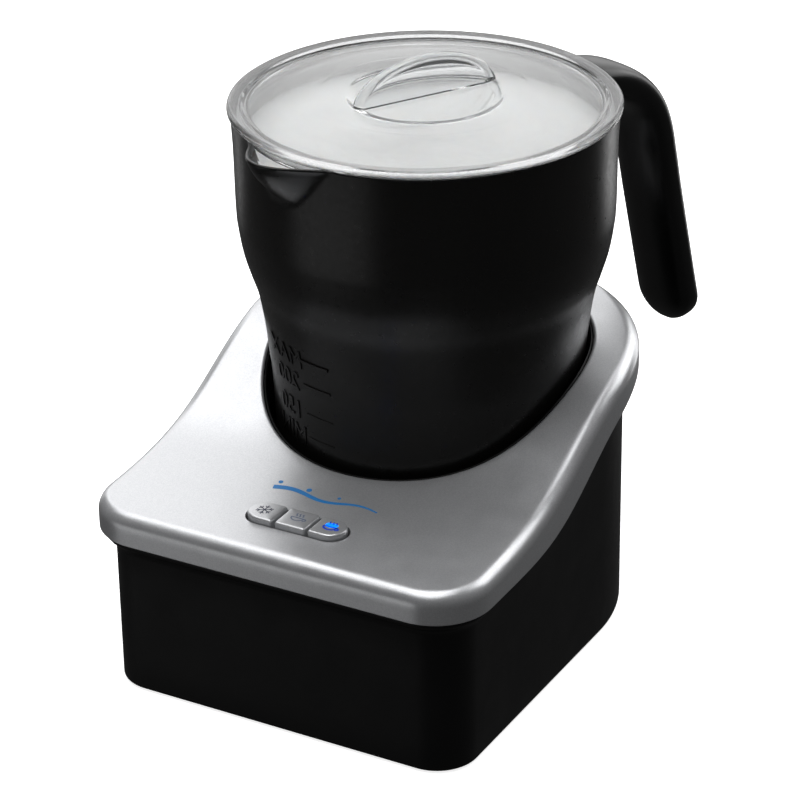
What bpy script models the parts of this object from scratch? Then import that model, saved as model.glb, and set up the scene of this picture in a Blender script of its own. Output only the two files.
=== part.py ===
"""Milk frother: a heated base with three buttons, and a lift-off jug with a magnetic whisk and a clear lid.

Units are metres, +Z is up and the buttons face -Y. The origin is on the floor, in the middle of the outline.
The jug's axis is vertical at (0, JUG_Y). Positions given to at() are measured from that axis.
"""

from math import cos, exp, pi, radians, sin, sqrt

import bmesh
import bpy
from mathutils import Matrix, Vector

# ---- driving dimensions -------------------------------------------------------------------------

JUG_Y = -0.0041  # jug axis, set so that the whole object is centred on the origin
GAP = 0.0003  # between pieces that touch

# plan outline of the base: straight front and sides, round back about the jug axis
HALF_WIDTH = 0.0562
FRONT_REACH = 0.0885  # jug axis to the front wall
FRONT_CORNER = 0.0123
WALL = 0.0024
HOUSING_LOW = 0.0005

# top cover: low at the buttons, then one S-curve up to the back
COVER_LOW = 0.0577
COVER_RISE = 0.0283
RISE_MIDDLE = -0.0210
RISE_LENGTH = 0.0137
COVER_PROUD = 0.0044  # beyond the walls of the base
COVER_ROUND = 0.0040
COVER_WALL = 0.0022
SKIRT_DROP = 0.0092
SKIRT_EXTRA = 0.0040  # deeper skirt where the cover is steep

# well for the jug
HOLE_RADIUS = 0.0475
WELL_RADIUS = 0.0472
WELL_INNER = 0.0464
WELL_FLOOR = 0.0424
PLATE_TOP = 0.0440
PLATE_RADIUS = 0.0352
SENSOR_Y = 0.0195

# jug
JUG_BOTTOM = 0.0443
JUG_WALL = 0.0012
JUG_RIM = 0.1545
SPOUT_ANGLE = 253.5
SPOUT_REACH = 0.0097
SPOUT_DEPTH = 0.0126
SPOUT_RISE = 0.0012
SPOUT_HALF_ANGLE = 18.5
HANDLE_ANGLE = 71
HANDLE_HALF_WIDTH = 0.0105
HANDLE_HALF_DEPTH = 0.0053
HANDLE_TIP = 0.0096  # length of the rounded end

# lid
LID_TOP = 0.1566
LID_RADIUS = 0.0550
LID_DISH = 0.1571
FIN_ANGLE = 59
FIN_LENGTH = 0.0452
FIN_HEIGHT = 0.0122
FIN_THICKNESS = 0.0030

# buttons
BUTTON_Y = -0.0742
BUTTON_WIDTH = 0.0094
BUTTON_DEPTH = 0.0094
BUTTON_GAP = 0.0010
BUTTON_TOP = 0.0600
BUTTON_PITCH = BUTTON_WIDTH + BUTTON_GAP

# inside
BOARD_TOP = 0.0505
MOTOR_RADIUS = 0.0140
ROTOR_TOP = 0.0390
BRACKET_REACH = 0.0435
POWER_BOARD_TOP = 0.0110
CORD_HEIGHT = 0.0160

AROUND = 48  # points round the jug
BACK_STEPS = 20
SIDE_STEPS = 7
CORNER_STEPS = 3
FRONT_STEPS = 5

# ---- collections and materials ------------------------------------------------------------------

for old in list(bpy.data.objects):
    bpy.data.objects.remove(old, do_unlink=True)

parts = bpy.data.collections.new("milk_frother")
cutters = bpy.data.collections.new("cutters")
for collection in (parts, cutters):
    bpy.context.scene.collection.children.link(collection)

FINISHES = {
    "black_shell": ((0.012, 0.012, 0.013), 0.45, 0.0),
    "silver_paint": ((0.62, 0.63, 0.65), 0.34, 0.6),
    "jug_coating": ((0.010, 0.010, 0.011), 0.38, 0.0),
    "clear_plastic": ((0.92, 0.94, 0.95), 0.05, 0.0),
    "seal_rubber": ((0.75, 0.76, 0.76), 0.70, 0.0),
    "foot_rubber": ((0.03, 0.03, 0.03), 0.85, 0.0),
    "aluminium": ((0.75, 0.76, 0.77), 0.35, 1.0),
    "steel": ((0.58, 0.58, 0.60), 0.30, 1.0),
    "grey_plastic": ((0.25, 0.26, 0.27), 0.55, 0.0),
    "circuit_board": ((0.04, 0.22, 0.10), 0.50, 0.0),
    "component": ((0.06, 0.06, 0.07), 0.50, 0.0),
    "magnet": ((0.35, 0.35, 0.37), 0.40, 1.0),
    "blue_light": ((0.10, 0.45, 0.95), 0.30, 0.0),
}


def make_material(name):
    colour, roughness, metallic = FINISHES[name]
    material = bpy.data.materials.new(name)
    material.use_nodes = True
    shader = material.node_tree.nodes["Principled BSDF"]
    shader.inputs["Base Color"].default_value = (*colour, 1.0)
    shader.inputs["Roughness"].default_value = roughness
    shader.inputs["Metallic"].default_value = metallic
    material.diffuse_color = (*colour, 1.0)
    return material


# ---- modelling helpers --------------------------------------------------------------------------


def at(x, y, z):
    """A place measured from the jug axis."""
    return Vector((x, JUG_Y + y, z))


def add_object(name, mesh, finish, location=(0, 0, 0)):
    obj = bpy.data.objects.new(name, mesh)
    obj.location = location
    if finish is None:
        cutters.objects.link(obj)
        obj.hide_render = True
        obj.display_type = "WIRE"
    else:
        parts.objects.link(obj)
        material = bpy.data.materials.get(finish) or make_material(finish)
        mesh.materials.append(material)
    return obj


def mesh_from(name, bm):
    bmesh.ops.recalc_face_normals(bm, faces=bm.faces)
    mesh = bpy.data.meshes.new(name)
    bm.to_mesh(mesh)
    bm.free()
    mesh.shade_smooth()
    mesh.set_sharp_from_angle(angle=radians(35))
    return mesh


def box(name, finish, size, location, bevel=0.0):
    """A block whose location is the middle of its underside."""
    bm = bmesh.new()
    bmesh.ops.create_cube(bm, size=1)
    bmesh.ops.scale(bm, vec=size, verts=bm.verts)
    bmesh.ops.translate(bm, vec=(0, 0, size[2] / 2), verts=bm.verts)
    obj = add_object(name, mesh_from(name, bm), finish, location)
    if bevel:
        rounding = obj.modifiers.new("Rounding", "BEVEL")
        rounding.width = bevel
        rounding.segments = 2
    return obj


def cylinder(name, finish, radius, low, high, place, steps=16, axis="Z"):
    """A plain cylinder from low to high along its axis, through place."""
    bm = bmesh.new()
    bmesh.ops.create_cone(
        bm, cap_ends=True, segments=steps, radius1=radius, radius2=radius, depth=high - low
    )
    bmesh.ops.translate(bm, vec=(0, 0, (low + high) / 2), verts=bm.verts)
    if axis == "Y":
        turn = Matrix.Rotation(-pi / 2, 3, "X")
        bmesh.ops.rotate(bm, matrix=turn, verts=bm.verts)
    return add_object(name, mesh_from(name, bm), finish, place)


def turned(name, finish, profile, place, steps=24, closed=False, axis="Z"):
    """A profile of (radius, height) turned round the axis through place. Its outer side runs downwards."""
    mesh = bpy.data.meshes.new(name)
    edges = [(i, i + 1) for i in range(len(profile) - 1)]
    if closed:
        edges.append((len(profile) - 1, 0))
    mesh.from_pydata([(radius, 0, height) for radius, height in profile], edges, [])
    obj = add_object(name, mesh, finish, place)
    if axis == "Y":
        obj.rotation_euler = (-pi / 2, 0, 0)
    screw = obj.modifiers.new("Turn", "SCREW")
    screw.steps = steps
    screw.render_steps = steps
    screw.use_merge_vertices = True
    screw.merge_threshold = 0.00001
    screw.use_smooth_shade = True
    return obj


def loft(name, finish, rings, closed=True):
    """Joins rings of equal point count. A closed loft joins the last ring to the first, like a tube bent round."""
    bm = bmesh.new()
    rows = [[bm.verts.new(point) for point in ring] for ring in rings]
    pairs = list(zip(rows, rows[1:]))
    if closed:
        pairs.append((rows[-1], rows[0]))
    for lower, upper in pairs:
        for i in range(len(lower)):
            j = (i + 1) % len(lower)
            bm.faces.new((lower[i], lower[j], upper[j], upper[i]))
    if not closed:
        bm.faces.new(rows[0])
        bm.faces.new(rows[-1])
    return add_object(name, mesh_from(name, bm), finish)


def combine(target, others, operation):
    """Cuts or joins the others with the target, and keeps them among the cutters."""
    for other in others:
        boolean = target.modifiers.new(operation.title(), "BOOLEAN")
        boolean.operation = operation
        boolean.object = other
        boolean.solver = "EXACT"


def cut(target, *others):
    combine(target, others, "DIFFERENCE")


def join(target, *others):
    combine(target, others, "UNION")


# ---- shape of the base --------------------------------------------------------------------------


def cover_height(y):
    """Height of the cover's surface at y, measured from the jug axis."""
    return COVER_LOW + COVER_RISE / (1 + exp(-(y - RISE_MIDDLE) / RISE_LENGTH))


def skirt_height(y):
    """Height of the cover's lower edge."""
    steep = exp(-(((y + 0.025) / 0.030) ** 2))
    return cover_height(y) - SKIRT_DROP - SKIRT_EXTRA * steep


def arc(centre, radius, start, end, steps):
    """Points along an arc, leaving out its last one."""
    angles = [radians(start + (end - start) * i / steps) for i in range(steps)]
    return [(centre[0] + radius * cos(a), centre[1] + radius * sin(a)) for a in angles]


def straight(start, end, steps):
    """Points along a line, leaving out its last one."""
    shares = [i / steps for i in range(steps)]
    return [tuple(a + (b - a) * share for a, b in zip(start, end)) for share in shares]


def outline(offset=0.0):
    """Plan of the base, measured from the jug axis, moved outwards by offset."""
    side = HALF_WIDTH + offset
    front = -FRONT_REACH - offset
    inner = HALF_WIDTH - FRONT_CORNER
    corner_y = -FRONT_REACH + FRONT_CORNER
    radius = FRONT_CORNER + offset
    points = arc((0, 0), side, 0, 180, BACK_STEPS)
    points += straight((-side, 0), (-side, corner_y), SIDE_STEPS)
    points += arc((-inner, corner_y), radius, 180, 270, CORNER_STEPS)
    points += straight((-inner, front), (inner, front), FRONT_STEPS)
    points += arc((inner, corner_y), radius, 270, 360, CORNER_STEPS)
    points += straight((side, corner_y), (side, 0), SIDE_STEPS)
    return points


def well_circle(radius):
    """A circle round the jug axis, with a point in the direction of each point of the outline."""
    return [(radius * x / sqrt(x * x + y * y), radius * y / sqrt(x * x + y * y)) for x, y in outline()]


def between(first, second, share):
    return [
        (a[0] + (b[0] - a[0]) * share, a[1] + (b[1] - a[1]) * share) for a, b in zip(first, second)
    ]


def level(points, height):
    return [at(x, y, height) for x, y in points]


def under_cover(points, drop=0.0):
    """The points laid on the cover's surface, or below it by drop."""
    return [at(x, y, cover_height(y) - drop) for x, y in points]


def by_skirt(points, rise=0.0):
    """The points at the height of the cover's lower edge, or above it by rise."""
    return [at(x, y, skirt_height(y) + rise) for x, y in points]


# ---- housing, covers and well -------------------------------------------------------------------

POSTS = [(0.0485, -0.0810), (-0.0485, -0.0810), (0.0385, 0.0323), (-0.0385, 0.0323)]
FEET = [(0.0400, -0.0700), (-0.0400, -0.0700), (0.0280, 0.0300), (-0.0280, 0.0300)]
BOARD_POSTS = [(x, y) for x in (-0.036, 0.036) for y in (-0.079, -0.057)]
POST_RADIUS = 0.0045
SCREW_BORE = 0.0018


def make_housing():
    """Walls with a ledge under the cover's skirt and a lip inside it, and four screw posts."""
    lip = COVER_PROUD - COVER_WALL - GAP
    rings = [
        level(outline(-0.0010), HOUSING_LOW),
        level(outline(), HOUSING_LOW + 0.0010),
        by_skirt(outline(), -0.0056),
        by_skirt(outline(0.0018), -0.0044),
        by_skirt(outline(0.0030), -0.0028),
        by_skirt(outline(0.0030), -GAP),
        by_skirt(outline(lip), -GAP),
        by_skirt(outline(lip), 0.0030),
        by_skirt(outline(-0.0006), 0.0030),
        by_skirt(outline(-WALL), -0.0040),
        level(outline(-WALL), HOUSING_LOW),
    ]
    housing = loft("base_housing", "black_shell", rings)
    for number, (x, y) in enumerate(POSTS, 1):
        place = at(x, y, 0)
        post = cylinder(f"post_{number}", None, POST_RADIUS, 0.0048, 0.0300, place)
        bore = cylinder(f"post_bore_{number}", None, SCREW_BORE, 0.0040, 0.0160, place, 12)
        join(housing, post)
        cut(housing, bore)
    cord_hole = cylinder("cord_hole", None, 0.0064, 0.0450, 0.0600, at(0, 0, CORD_HEIGHT), 24, "Y")
    cut(housing, cord_hole)


def make_bottom_cover():
    """Floor plate with foot recesses, counterbored screw holes and posts for the power board."""
    plan = outline(-WALL - GAP)
    plate = loft("bottom_cover", "black_shell", [level(plan, 0.0015), level(plan, 0.0045)], False)
    for number, (x, y) in enumerate(FEET, 1):
        cut(plate, cylinder(f"foot_recess_{number}", None, 0.0069, 0.0010, 0.0030, at(x, y, 0), 16))
    for number, (x, y) in enumerate(POSTS, 1):
        cut(plate, cylinder(f"screw_hole_{number}", None, SCREW_BORE, 0.0010, 0.0050, at(x, y, 0), 12))
        cut(plate, cylinder(f"counterbore_{number}", None, 0.0034, 0.0010, 0.0033, at(x, y, 0), 16))
    for number, (x, y) in enumerate(BOARD_POSTS, 1):
        top = POWER_BOARD_TOP - 0.0016 - GAP
        join(plate, cylinder(f"board_post_{number}", None, 0.0025, 0.0040, top, at(x, y, 0), 12))


def pill(name, length, depth, low, high):
    """A round-ended block, long in X, for the buttons' opening."""
    half = length / 2 - depth / 2
    plan = arc((half, BUTTON_Y), depth / 2, -90, 90, 8)
    plan += [(half, BUTTON_Y + depth / 2)]
    plan += arc((-half, BUTTON_Y), depth / 2, 90, 270, 8)
    plan += [(-half, BUTTON_Y - depth / 2)]
    return loft(name, None, [level(plan, low), level(plan, high)], False)


def make_top_cover():
    """Silver cover: skirt, rounded edge, S-curved top with the well's hole, and the buttons' opening."""
    edge = outline(COVER_PROUD)
    hole = well_circle(HOLE_RADIUS)
    inner = COVER_PROUD - COVER_WALL
    rings = [by_skirt(edge), under_cover(edge, COVER_ROUND)]
    for turn in (30, 60, 90):
        inset = COVER_ROUND * (1 - cos(radians(turn)))
        drop = COVER_ROUND * (1 - sin(radians(turn)))
        rings.append(under_cover(outline(COVER_PROUD - inset), drop))
    top_edge = outline(COVER_PROUD - COVER_ROUND)
    rings += [under_cover(between(top_edge, hole, share)) for share in (0.25, 0.5, 0.75, 1.0)]
    underside = outline(inner - 0.0020)
    lip = well_circle(HOLE_RADIUS + 0.0015)
    rings.append(under_cover(hole, 0.0035))
    rings.append(under_cover(lip, 0.0035))
    rings.append(under_cover(lip, COVER_WALL))
    for share in (0.25, 0.5, 0.75, 1.0):
        rings.append(under_cover(between(lip, underside, share), COVER_WALL))
    rings.append(under_cover(outline(inner), COVER_WALL + 0.0020))
    rings.append(by_skirt(outline(inner)))
    cover = loft("top_cover", "silver_paint", rings)
    for number, x in enumerate((-0.029, 0.029), 1):
        place = at(x, BUTTON_Y, 0)
        join(cover, cylinder(f"board_boss_{number}", None, 0.0030, BOARD_TOP + GAP, 0.0570, place, 16))
        cut(cover, cylinder(f"boss_bore_{number}", None, 0.0014, BOARD_TOP, 0.0548, place, 12))
    cut(cover, pill("button_opening", 3 * BUTTON_PITCH + 0.0006, BUTTON_DEPTH + 0.0008, 0.0500, 0.0650))


def make_jug_well():
    """Black well that the jug stands in, with its flange under the cover and two bosses for the motor."""
    rings = [
        under_cover(well_circle(WELL_RADIUS), 0.0009),
        under_cover(well_circle(WELL_RADIUS), 0.0040),
        under_cover(well_circle(0.0515), 0.0040),
        under_cover(well_circle(0.0515), 0.0055),
        under_cover(well_circle(0.0480), 0.0055),
        level(well_circle(0.0474), 0.0440),
        level(well_circle(0.0468), 0.0400),
        level(well_circle(PLATE_RADIUS + 0.0004), 0.0400),
        level(well_circle(PLATE_RADIUS + 0.0004), WELL_FLOOR),
        level(well_circle(0.0440), WELL_FLOOR),
        level(well_circle(0.0455), 0.0440),
        under_cover(well_circle(WELL_INNER), 0.0016),
        under_cover(well_circle(WELL_INNER + 0.0005), 0.0006),
    ]
    well = loft("jug_well", "black_shell", rings)
    for number, side in enumerate((-1, 1), 1):
        place = at(side * BRACKET_REACH, 0, 0)
        join(well, cylinder(f"motor_boss_{number}", None, 0.0033, 0.0314, 0.0410, place, 16))
        cut(well, cylinder(f"motor_boss_bore_{number}", None, 0.0016, 0.0300, 0.0380, place, 12))


def make_feet_and_screws():
    head = [(0, 0.0017), (0.0030, 0.0017), (0.0030, 0.0030), (0.0015, 0.0030), (0.0015, 0.0140), (0, 0.0140)]
    for number, (x, y) in enumerate(FEET, 1):
        foot = [(0, 0.0027), (0.0065, 0.0027), (0.0065, 0.0006), (0.0059, 0), (0, 0)]
        turned(f"foot_{number}", "foot_rubber", foot, at(x, y, 0), 16)
    for number, (x, y) in enumerate(POSTS, 1):
        turned(f"housing_screw_{number}", "steel", head[::-1], at(x, y, 0), 12)


def make_cord_gland():
    """Rubber bush in the back wall, with the mains inlet bore through it, and its nut inside."""
    bush = [(0.0034, 0.0594), (0.0080, 0.0594), (0.0080, 0.0565), (0.0060, 0.0565), (0.0060, 0.0480)]
    bush.append((0.0034, 0.0480))
    turned("cord_gland", "foot_rubber", bush, at(0, 0, CORD_HEIGHT), 24, True, "Y")
    nut = [(0.0063, 0.0526), (0.0086, 0.0526), (0.0086, 0.0500), (0.0063, 0.0500)]
    turned("gland_nut", "grey_plastic", nut, at(0, 0, CORD_HEIGHT), 24, True, "Y")


# ---- heater, sensor and drive -------------------------------------------------------------------


def make_heater():
    plate = [
        (0, PLATE_TOP),
        (PLATE_RADIUS - 0.0012, PLATE_TOP),
        (PLATE_RADIUS, PLATE_TOP - 0.0012),
        (PLATE_RADIUS, 0.0397),
        (0.0385, 0.0397),
        (0.0385, 0.0382),
        (0.0315, 0.0382),
        (0.0315, 0.0415),
        (0, 0.0415),
    ]
    disc = turned("heating_plate", "aluminium", plate, at(0, 0, 0), AROUND)
    cut(disc, cylinder("sensor_hole", None, 0.0032, 0.0400, 0.0450, at(0, SENSOR_Y, 0), 20))

    curve = bpy.data.curves.new("heater_element", "CURVE")
    curve.dimensions = "3D"
    curve.bevel_depth = 0.0023
    curve.bevel_resolution = 2
    curve.use_fill_caps = True
    path = [at(x, y, 0.0388) for x, y in arc((0, 0), 0.0275, -70, 250, 24)]
    path.insert(0, path[0] + Vector((0.002, -0.001, -0.0045)))
    path.append(path[-1] + Vector((-0.002, -0.001, -0.0045)))
    spline = curve.splines.new("POLY")
    spline.points.add(len(path) - 1)
    for point, place in zip(spline.points, path):
        point.co = (*place, 1)
    add_object("heater_element", curve, "steel")
    box("thermal_cutout", "component", (0.0060, 0.0100, 0.0035), at(-0.0195, 0, 0.0376), 0.0004)


def make_sensor():
    """Sprung temperature probe in its guide, under the heating plate."""
    place = at(0, SENSOR_Y, 0)
    guide = [
        (0.0032, 0.0410),
        (0.0045, 0.0410),
        (0.0045, 0.0300),
        (0.0012, 0.0300),
        (0.0012, 0.0312),
        (0.0032, 0.0312),
    ]
    turned("sensor_guide", "grey_plastic", guide, place, 20, True)
    cap = [(0, PLATE_TOP), (0.0022, PLATE_TOP), (0.0028, 0.0434), (0.0028, 0.0390), (0, 0.0390)]
    turned("temperature_sensor", "steel", cap, place, 20)

    turns, wire, low, high = 4, 0.0003, 0.0318, 0.0384
    count = turns * 8
    curve = bpy.data.curves.new("sensor_spring", "CURVE")
    curve.dimensions = "3D"
    curve.bevel_depth = wire
    curve.bevel_resolution = 0
    curve.use_fill_caps = True
    spline = curve.splines.new("POLY")
    spline.points.add(count)
    for i, point in enumerate(spline.points):
        angle = 2 * pi * turns * i / count
        place_on_coil = place + Vector((0.0022 * cos(angle), 0.0022 * sin(angle), low + (high - low) * i / count))
        point.co = (*place_on_coil, 1)
    add_object("sensor_spring", curve, "steel")


def make_motor():
    place = at(0, 0, 0)
    can = [
        (0.0019, 0.0316),
        (0.0050, 0.0316),
        (0.0050, 0.0292),
        (MOTOR_RADIUS - 0.0010, 0.0292),
        (MOTOR_RADIUS, 0.0282),
        (MOTOR_RADIUS, 0.0085),
        (0, 0.0085),
        (0, 0.0120),
        (0.0019, 0.0120),
    ]
    turned("motor_can", "steel", can, place, 24, True)
    cap = [(0, 0.0082), (0.0132, 0.0082), (0.0132, 0.0062), (0.0050, 0.0062), (0.0050, 0.0049), (0, 0.0049)]
    turned("motor_end_cap", "grey_plastic", cap, place, 24)

    bracket = box("motor_bracket", "steel", (0.0960, 0.0180, 0.0015), at(0, 0, 0.0295), 0.0003)
    cut(bracket, cylinder("bracket_middle_hole", None, 0.0054, 0.0280, 0.0320, place, 24))
    for number, side in enumerate((-1, 1), 1):
        hole_place = at(side * BRACKET_REACH, 0, 0)
        cut(bracket, cylinder(f"bracket_hole_{number}", None, 0.0017, 0.0280, 0.0320, hole_place, 12))
        screw = [(0, 0.0370), (0.0013, 0.0370), (0.0013, 0.0292), (0.0028, 0.0292), (0.0028, 0.0276), (0, 0.0276)]
        turned(f"bracket_screw_{number}", "steel", screw, hole_place, 12)

    turned("motor_shaft", "steel", [(0, 0.0386), (0.0015, 0.0386), (0.0015, 0.0124), (0, 0.0124)], place, 16)
    carrier = [
        (0.0018, ROTOR_TOP - 0.0002),
        (0.0145, ROTOR_TOP - 0.0002),
        (0.0145, 0.0345),
        (0.0040, 0.0345),
        (0.0040, 0.0322),
        (0.0018, 0.0322),
    ]
    rotor = turned("magnet_carrier", "grey_plastic", carrier, place, 24, True)
    for number, side in enumerate((-1, 1), 1):
        pocket_place = at(side * 0.0092, 0, 0)
        cut(rotor, cylinder(f"magnet_pocket_{number}", None, 0.0043, 0.0355, 0.0400, pocket_place, 20))
        magnet = [(0, ROTOR_TOP), (0.0040, ROTOR_TOP), (0.0040, 0.0358), (0, 0.0358)]
        turned(f"drive_magnet_{number}", "magnet", magnet, pocket_place, 20)


# ---- electronics and buttons --------------------------------------------------------------------

BUTTON_NAMES = ("cold_froth_button", "hot_milk_button", "hot_froth_button")


def button_x(index):
    return (index - 1) * BUTTON_PITCH


def make_button(index):
    """A key cap with a flange that keeps it in the cover. The outer caps have a round outer end."""
    x = button_x(index)
    half = BUTTON_WIDTH / 2
    deep = BUTTON_DEPTH / 2
    outer = index - 1
    if outer == 0:
        plan = [(-half, -deep), (half, -deep), (half, deep), (-half, deep)]
    else:
        plan = arc((half - deep, 0), deep, -90, 90, 8)
        plan += [(half - deep, deep), (-half, deep), (-half, -deep)]
        plan = [(px * outer, py) for px, py in plan]
    low, rounding = 0.0550, 0.0006
    low_ring = [at(x + px, BUTTON_Y + py, low) for px, py in plan]
    side_ring = [at(x + px, BUTTON_Y + py, BUTTON_TOP - rounding) for px, py in plan]
    shrink = 1 - rounding / half
    top_ring = [at(x + px * shrink, BUTTON_Y + py * shrink, BUTTON_TOP) for px, py in plan]
    cap = loft(BUTTON_NAMES[index], "silver_paint", [low_ring, side_ring, top_ring], False)
    flange_size = (BUTTON_WIDTH - 0.0002, BUTTON_DEPTH + 0.0032, 0.0012)
    flange = box(f"button_flange_{index + 1}", None, flange_size, at(x, BUTTON_Y, 0.0542))
    join(cap, flange)


def make_control_board():
    """Board under the cover's front, with a switch and a light for each button."""
    board = box("control_board", "circuit_board", (0.0680, 0.0200, 0.0016), at(0, -0.0752, BOARD_TOP - 0.0016))
    for number, x in enumerate((-0.029, 0.029), 1):
        place = at(x, BUTTON_Y, 0)
        cut(board, cylinder(f"board_hole_{number}", None, 0.0015, 0.0470, 0.0520, place, 12))
        screw = [(0, 0.0544), (0.0011, 0.0544), (0.0011, 0.0486), (0.0024, 0.0486), (0.0024, 0.0472), (0, 0.0472)]
        turned(f"board_screw_{number}", "steel", screw, place, 12)
    for index, name in enumerate(("cold_froth", "hot_milk", "hot_froth")):
        x = button_x(index)
        base = BOARD_TOP + GAP
        box(f"{name}_switch", "component", (0.0060, 0.0060, 0.0021), at(x, BUTTON_Y + 0.0016, base), 0.0003)
        light = [(0, base + 0.0022), (0.0008, base + 0.0020), (0.0012, base + 0.0014), (0.0012, base), (0, base)]
        turned(f"{name}_light", "blue_light", light, at(x, BUTTON_Y - 0.0034, 0), 12)


def make_power_board():
    top = POWER_BOARD_TOP
    place = at(0, -0.0680, top - 0.0016)
    box("power_board", "circuit_board", (0.0840, 0.0300, 0.0016), place)
    seat = top + GAP
    box("transformer", "component", (0.0260, 0.0220, 0.0200), at(-0.0220, -0.0680, seat), 0.0008)
    box("heater_relay", "component", (0.0180, 0.0120, 0.0140), at(0.0080, -0.0745, seat), 0.0006)
    box("terminal_block", "grey_plastic", (0.0150, 0.0090, 0.0100), at(0.0080, -0.0590, seat), 0.0005)
    cylinder("smoothing_capacitor", "component", 0.0060, seat, seat + 0.0180, at(0.0300, -0.0670, 0), 24)


# ---- jug, whisk and lid -------------------------------------------------------------------------

JUG_OUTER = [  # (radius, height) up the outside, from the foot to the rim
    (0.0395, JUG_BOTTOM),
    (0.0428, 0.0460),
    (0.0437, 0.0505),
    (0.0448, 0.0760),
    (0.0455, 0.0825),
    (0.0461, 0.0885),
    (0.0469, 0.0945),
    (0.0482, 0.1015),
    (0.0500, 0.1072),
    (0.0520, 0.1134),
    (0.0530, 0.1200),
    (0.0534, 0.1260),
    (0.0536, 0.1423),
    (0.0537, 0.1450),
    (0.0538, 0.1480),
    (0.0539, 0.1512),
    (0.0541, JUG_RIM),
]


def spout(angle, height):
    """How far the wall is pulled out for the pouring lip."""
    lift = (height - JUG_RIM + SPOUT_DEPTH) / SPOUT_DEPTH
    turn = abs((angle - SPOUT_ANGLE + 180) % 360 - 180)
    half = SPOUT_HALF_ANGLE * (0.4 + 0.6 * lift)
    if lift <= 0 or turn >= half:
        return 0.0
    return SPOUT_REACH * sin(pi / 2 * lift) * cos(pi / 2 * turn / half) ** 2


def jug_ring(radius, height):
    ring = []
    for step in range(AROUND):
        degrees = SPOUT_ANGLE + 360 * step / AROUND
        pull = spout(degrees, height)
        rise = SPOUT_RISE * pull / SPOUT_REACH
        reach = radius + pull
        ring.append(at(reach * cos(radians(degrees)), reach * sin(radians(degrees)), height + rise))
    return ring


def make_jug():
    outer = [jug_ring(radius, height) for radius, height in JUG_OUTER]
    inside = [(radius - JUG_WALL, height) for radius, height in JUG_OUTER[1:]]
    inner = [jug_ring(radius, max(height, JUG_BOTTOM + JUG_WALL)) for radius, height in reversed(inside[1:])]
    floor = jug_ring(0.0405, JUG_BOTTOM + JUG_WALL)
    loft("jug_body", "jug_coating", outer + inner + [floor], False)
    pin = [
        (0, 0.0600),
        (0.0014, 0.0600),
        (0.0020, 0.0594),
        (0.0020, 0.0468),
        (0.0044, 0.0464),
        (0.0044, JUG_BOTTOM + JUG_WALL + GAP),
        (0, JUG_BOTTOM + JUG_WALL + GAP),
    ]
    turned("whisk_pin", "steel", pin, at(0, 0, 0), 16)


def handle_rings():
    """Sections along the handle: out from the rim, over a bend, then down and slightly outwards."""
    stations = [  # (radius, height) of the section's middle
        (0.0550, 0.1462),
        (0.0623, 0.1460),
        (0.0702, 0.1440),
        (0.0775, 0.1398),
        (0.0829, 0.1340),
        (0.0864, 0.1265),
        (0.0886, 0.1170),
        (0.0913, 0.1040),
        (0.0949, 0.0880),
        (0.0983, 0.0730),
        (0.0996, 0.0674),
    ]
    out = Vector((cos(radians(HANDLE_ANGLE)), sin(radians(HANDLE_ANGLE)), 0))
    sideways = Vector((-out.y, out.x, 0))
    centres = [at(0, 0, 0) + out * radius + Vector((0, 0, height)) for radius, height in stations]
    rings = []
    for i, centre in enumerate(centres):
        before = centres[max(i - 1, 0)]
        after = centres[min(i + 1, len(centres) - 1)]
        along = (after - before).normalized()
        if i == 0:
            along = out
        across = sideways.cross(along)
        rings.append(handle_section(centre, sideways, across, HANDLE_HALF_WIDTH, HANDLE_HALF_DEPTH))
    along = (centres[-1] - centres[-2]).normalized()
    across = sideways.cross(along)
    for turn in (25, 50, 70, 84):
        share = cos(radians(turn))
        tip = centres[-1] + along * HANDLE_TIP * sin(radians(turn))
        rings.append(handle_section(tip, sideways, across, HANDLE_HALF_WIDTH * share, HANDLE_HALF_DEPTH * sqrt(share)))
    return rings


def handle_section(centre, sideways, across, width, depth):
    """A rounded oblong of that half width and half depth."""
    ring = []
    for step in range(16):
        angle = 2 * pi * step / 16
        x = abs(cos(angle)) ** 0.7 * (1 if cos(angle) > 0 else -1)
        y = abs(sin(angle)) ** 0.7 * (1 if sin(angle) > 0 else -1)
        ring.append(centre + sideways * width * x + across * depth * y)
    return ring


def radial_box(name, finish, size, radius, height):
    """A block standing out from the jug at the handle, with radius the middle of its length."""
    angle = radians(HANDLE_ANGLE)
    block = box(name, finish, size, at(radius * cos(angle), radius * sin(angle), height))
    block.rotation_euler = (0, 0, angle)
    return block


def make_handle():
    handle = loft("jug_handle", "black_shell", handle_rings(), False)
    length = 0.0130
    middle = 0.0543 + length / 2
    radial_box("handle_bracket", "steel", (length, 0.0120, 0.0030), middle, 0.1448)
    pocket = (length + 0.0006, 0.0126, 0.0036)
    cut(handle, radial_box("bracket_pocket", None, pocket, middle, 0.1445))
    angle = radians(HANDLE_ANGLE)
    screw_place = at(middle * cos(angle), middle * sin(angle), 0)
    cut(handle, cylinder("handle_screw_hole", None, 0.0030, 0.1350, 0.1430, screw_place, 16))
    cut(handle, cylinder("handle_screw_shank_hole", None, 0.0018, 0.1350, 0.1450, screw_place, 12))
    screw = [(0, 0.1444), (0.0014, 0.1444), (0.0014, 0.1427), (0.0026, 0.1427), (0.0026, 0.1412), (0, 0.1412)]
    turned("handle_screw", "steel", screw, screw_place, 12)


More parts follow.
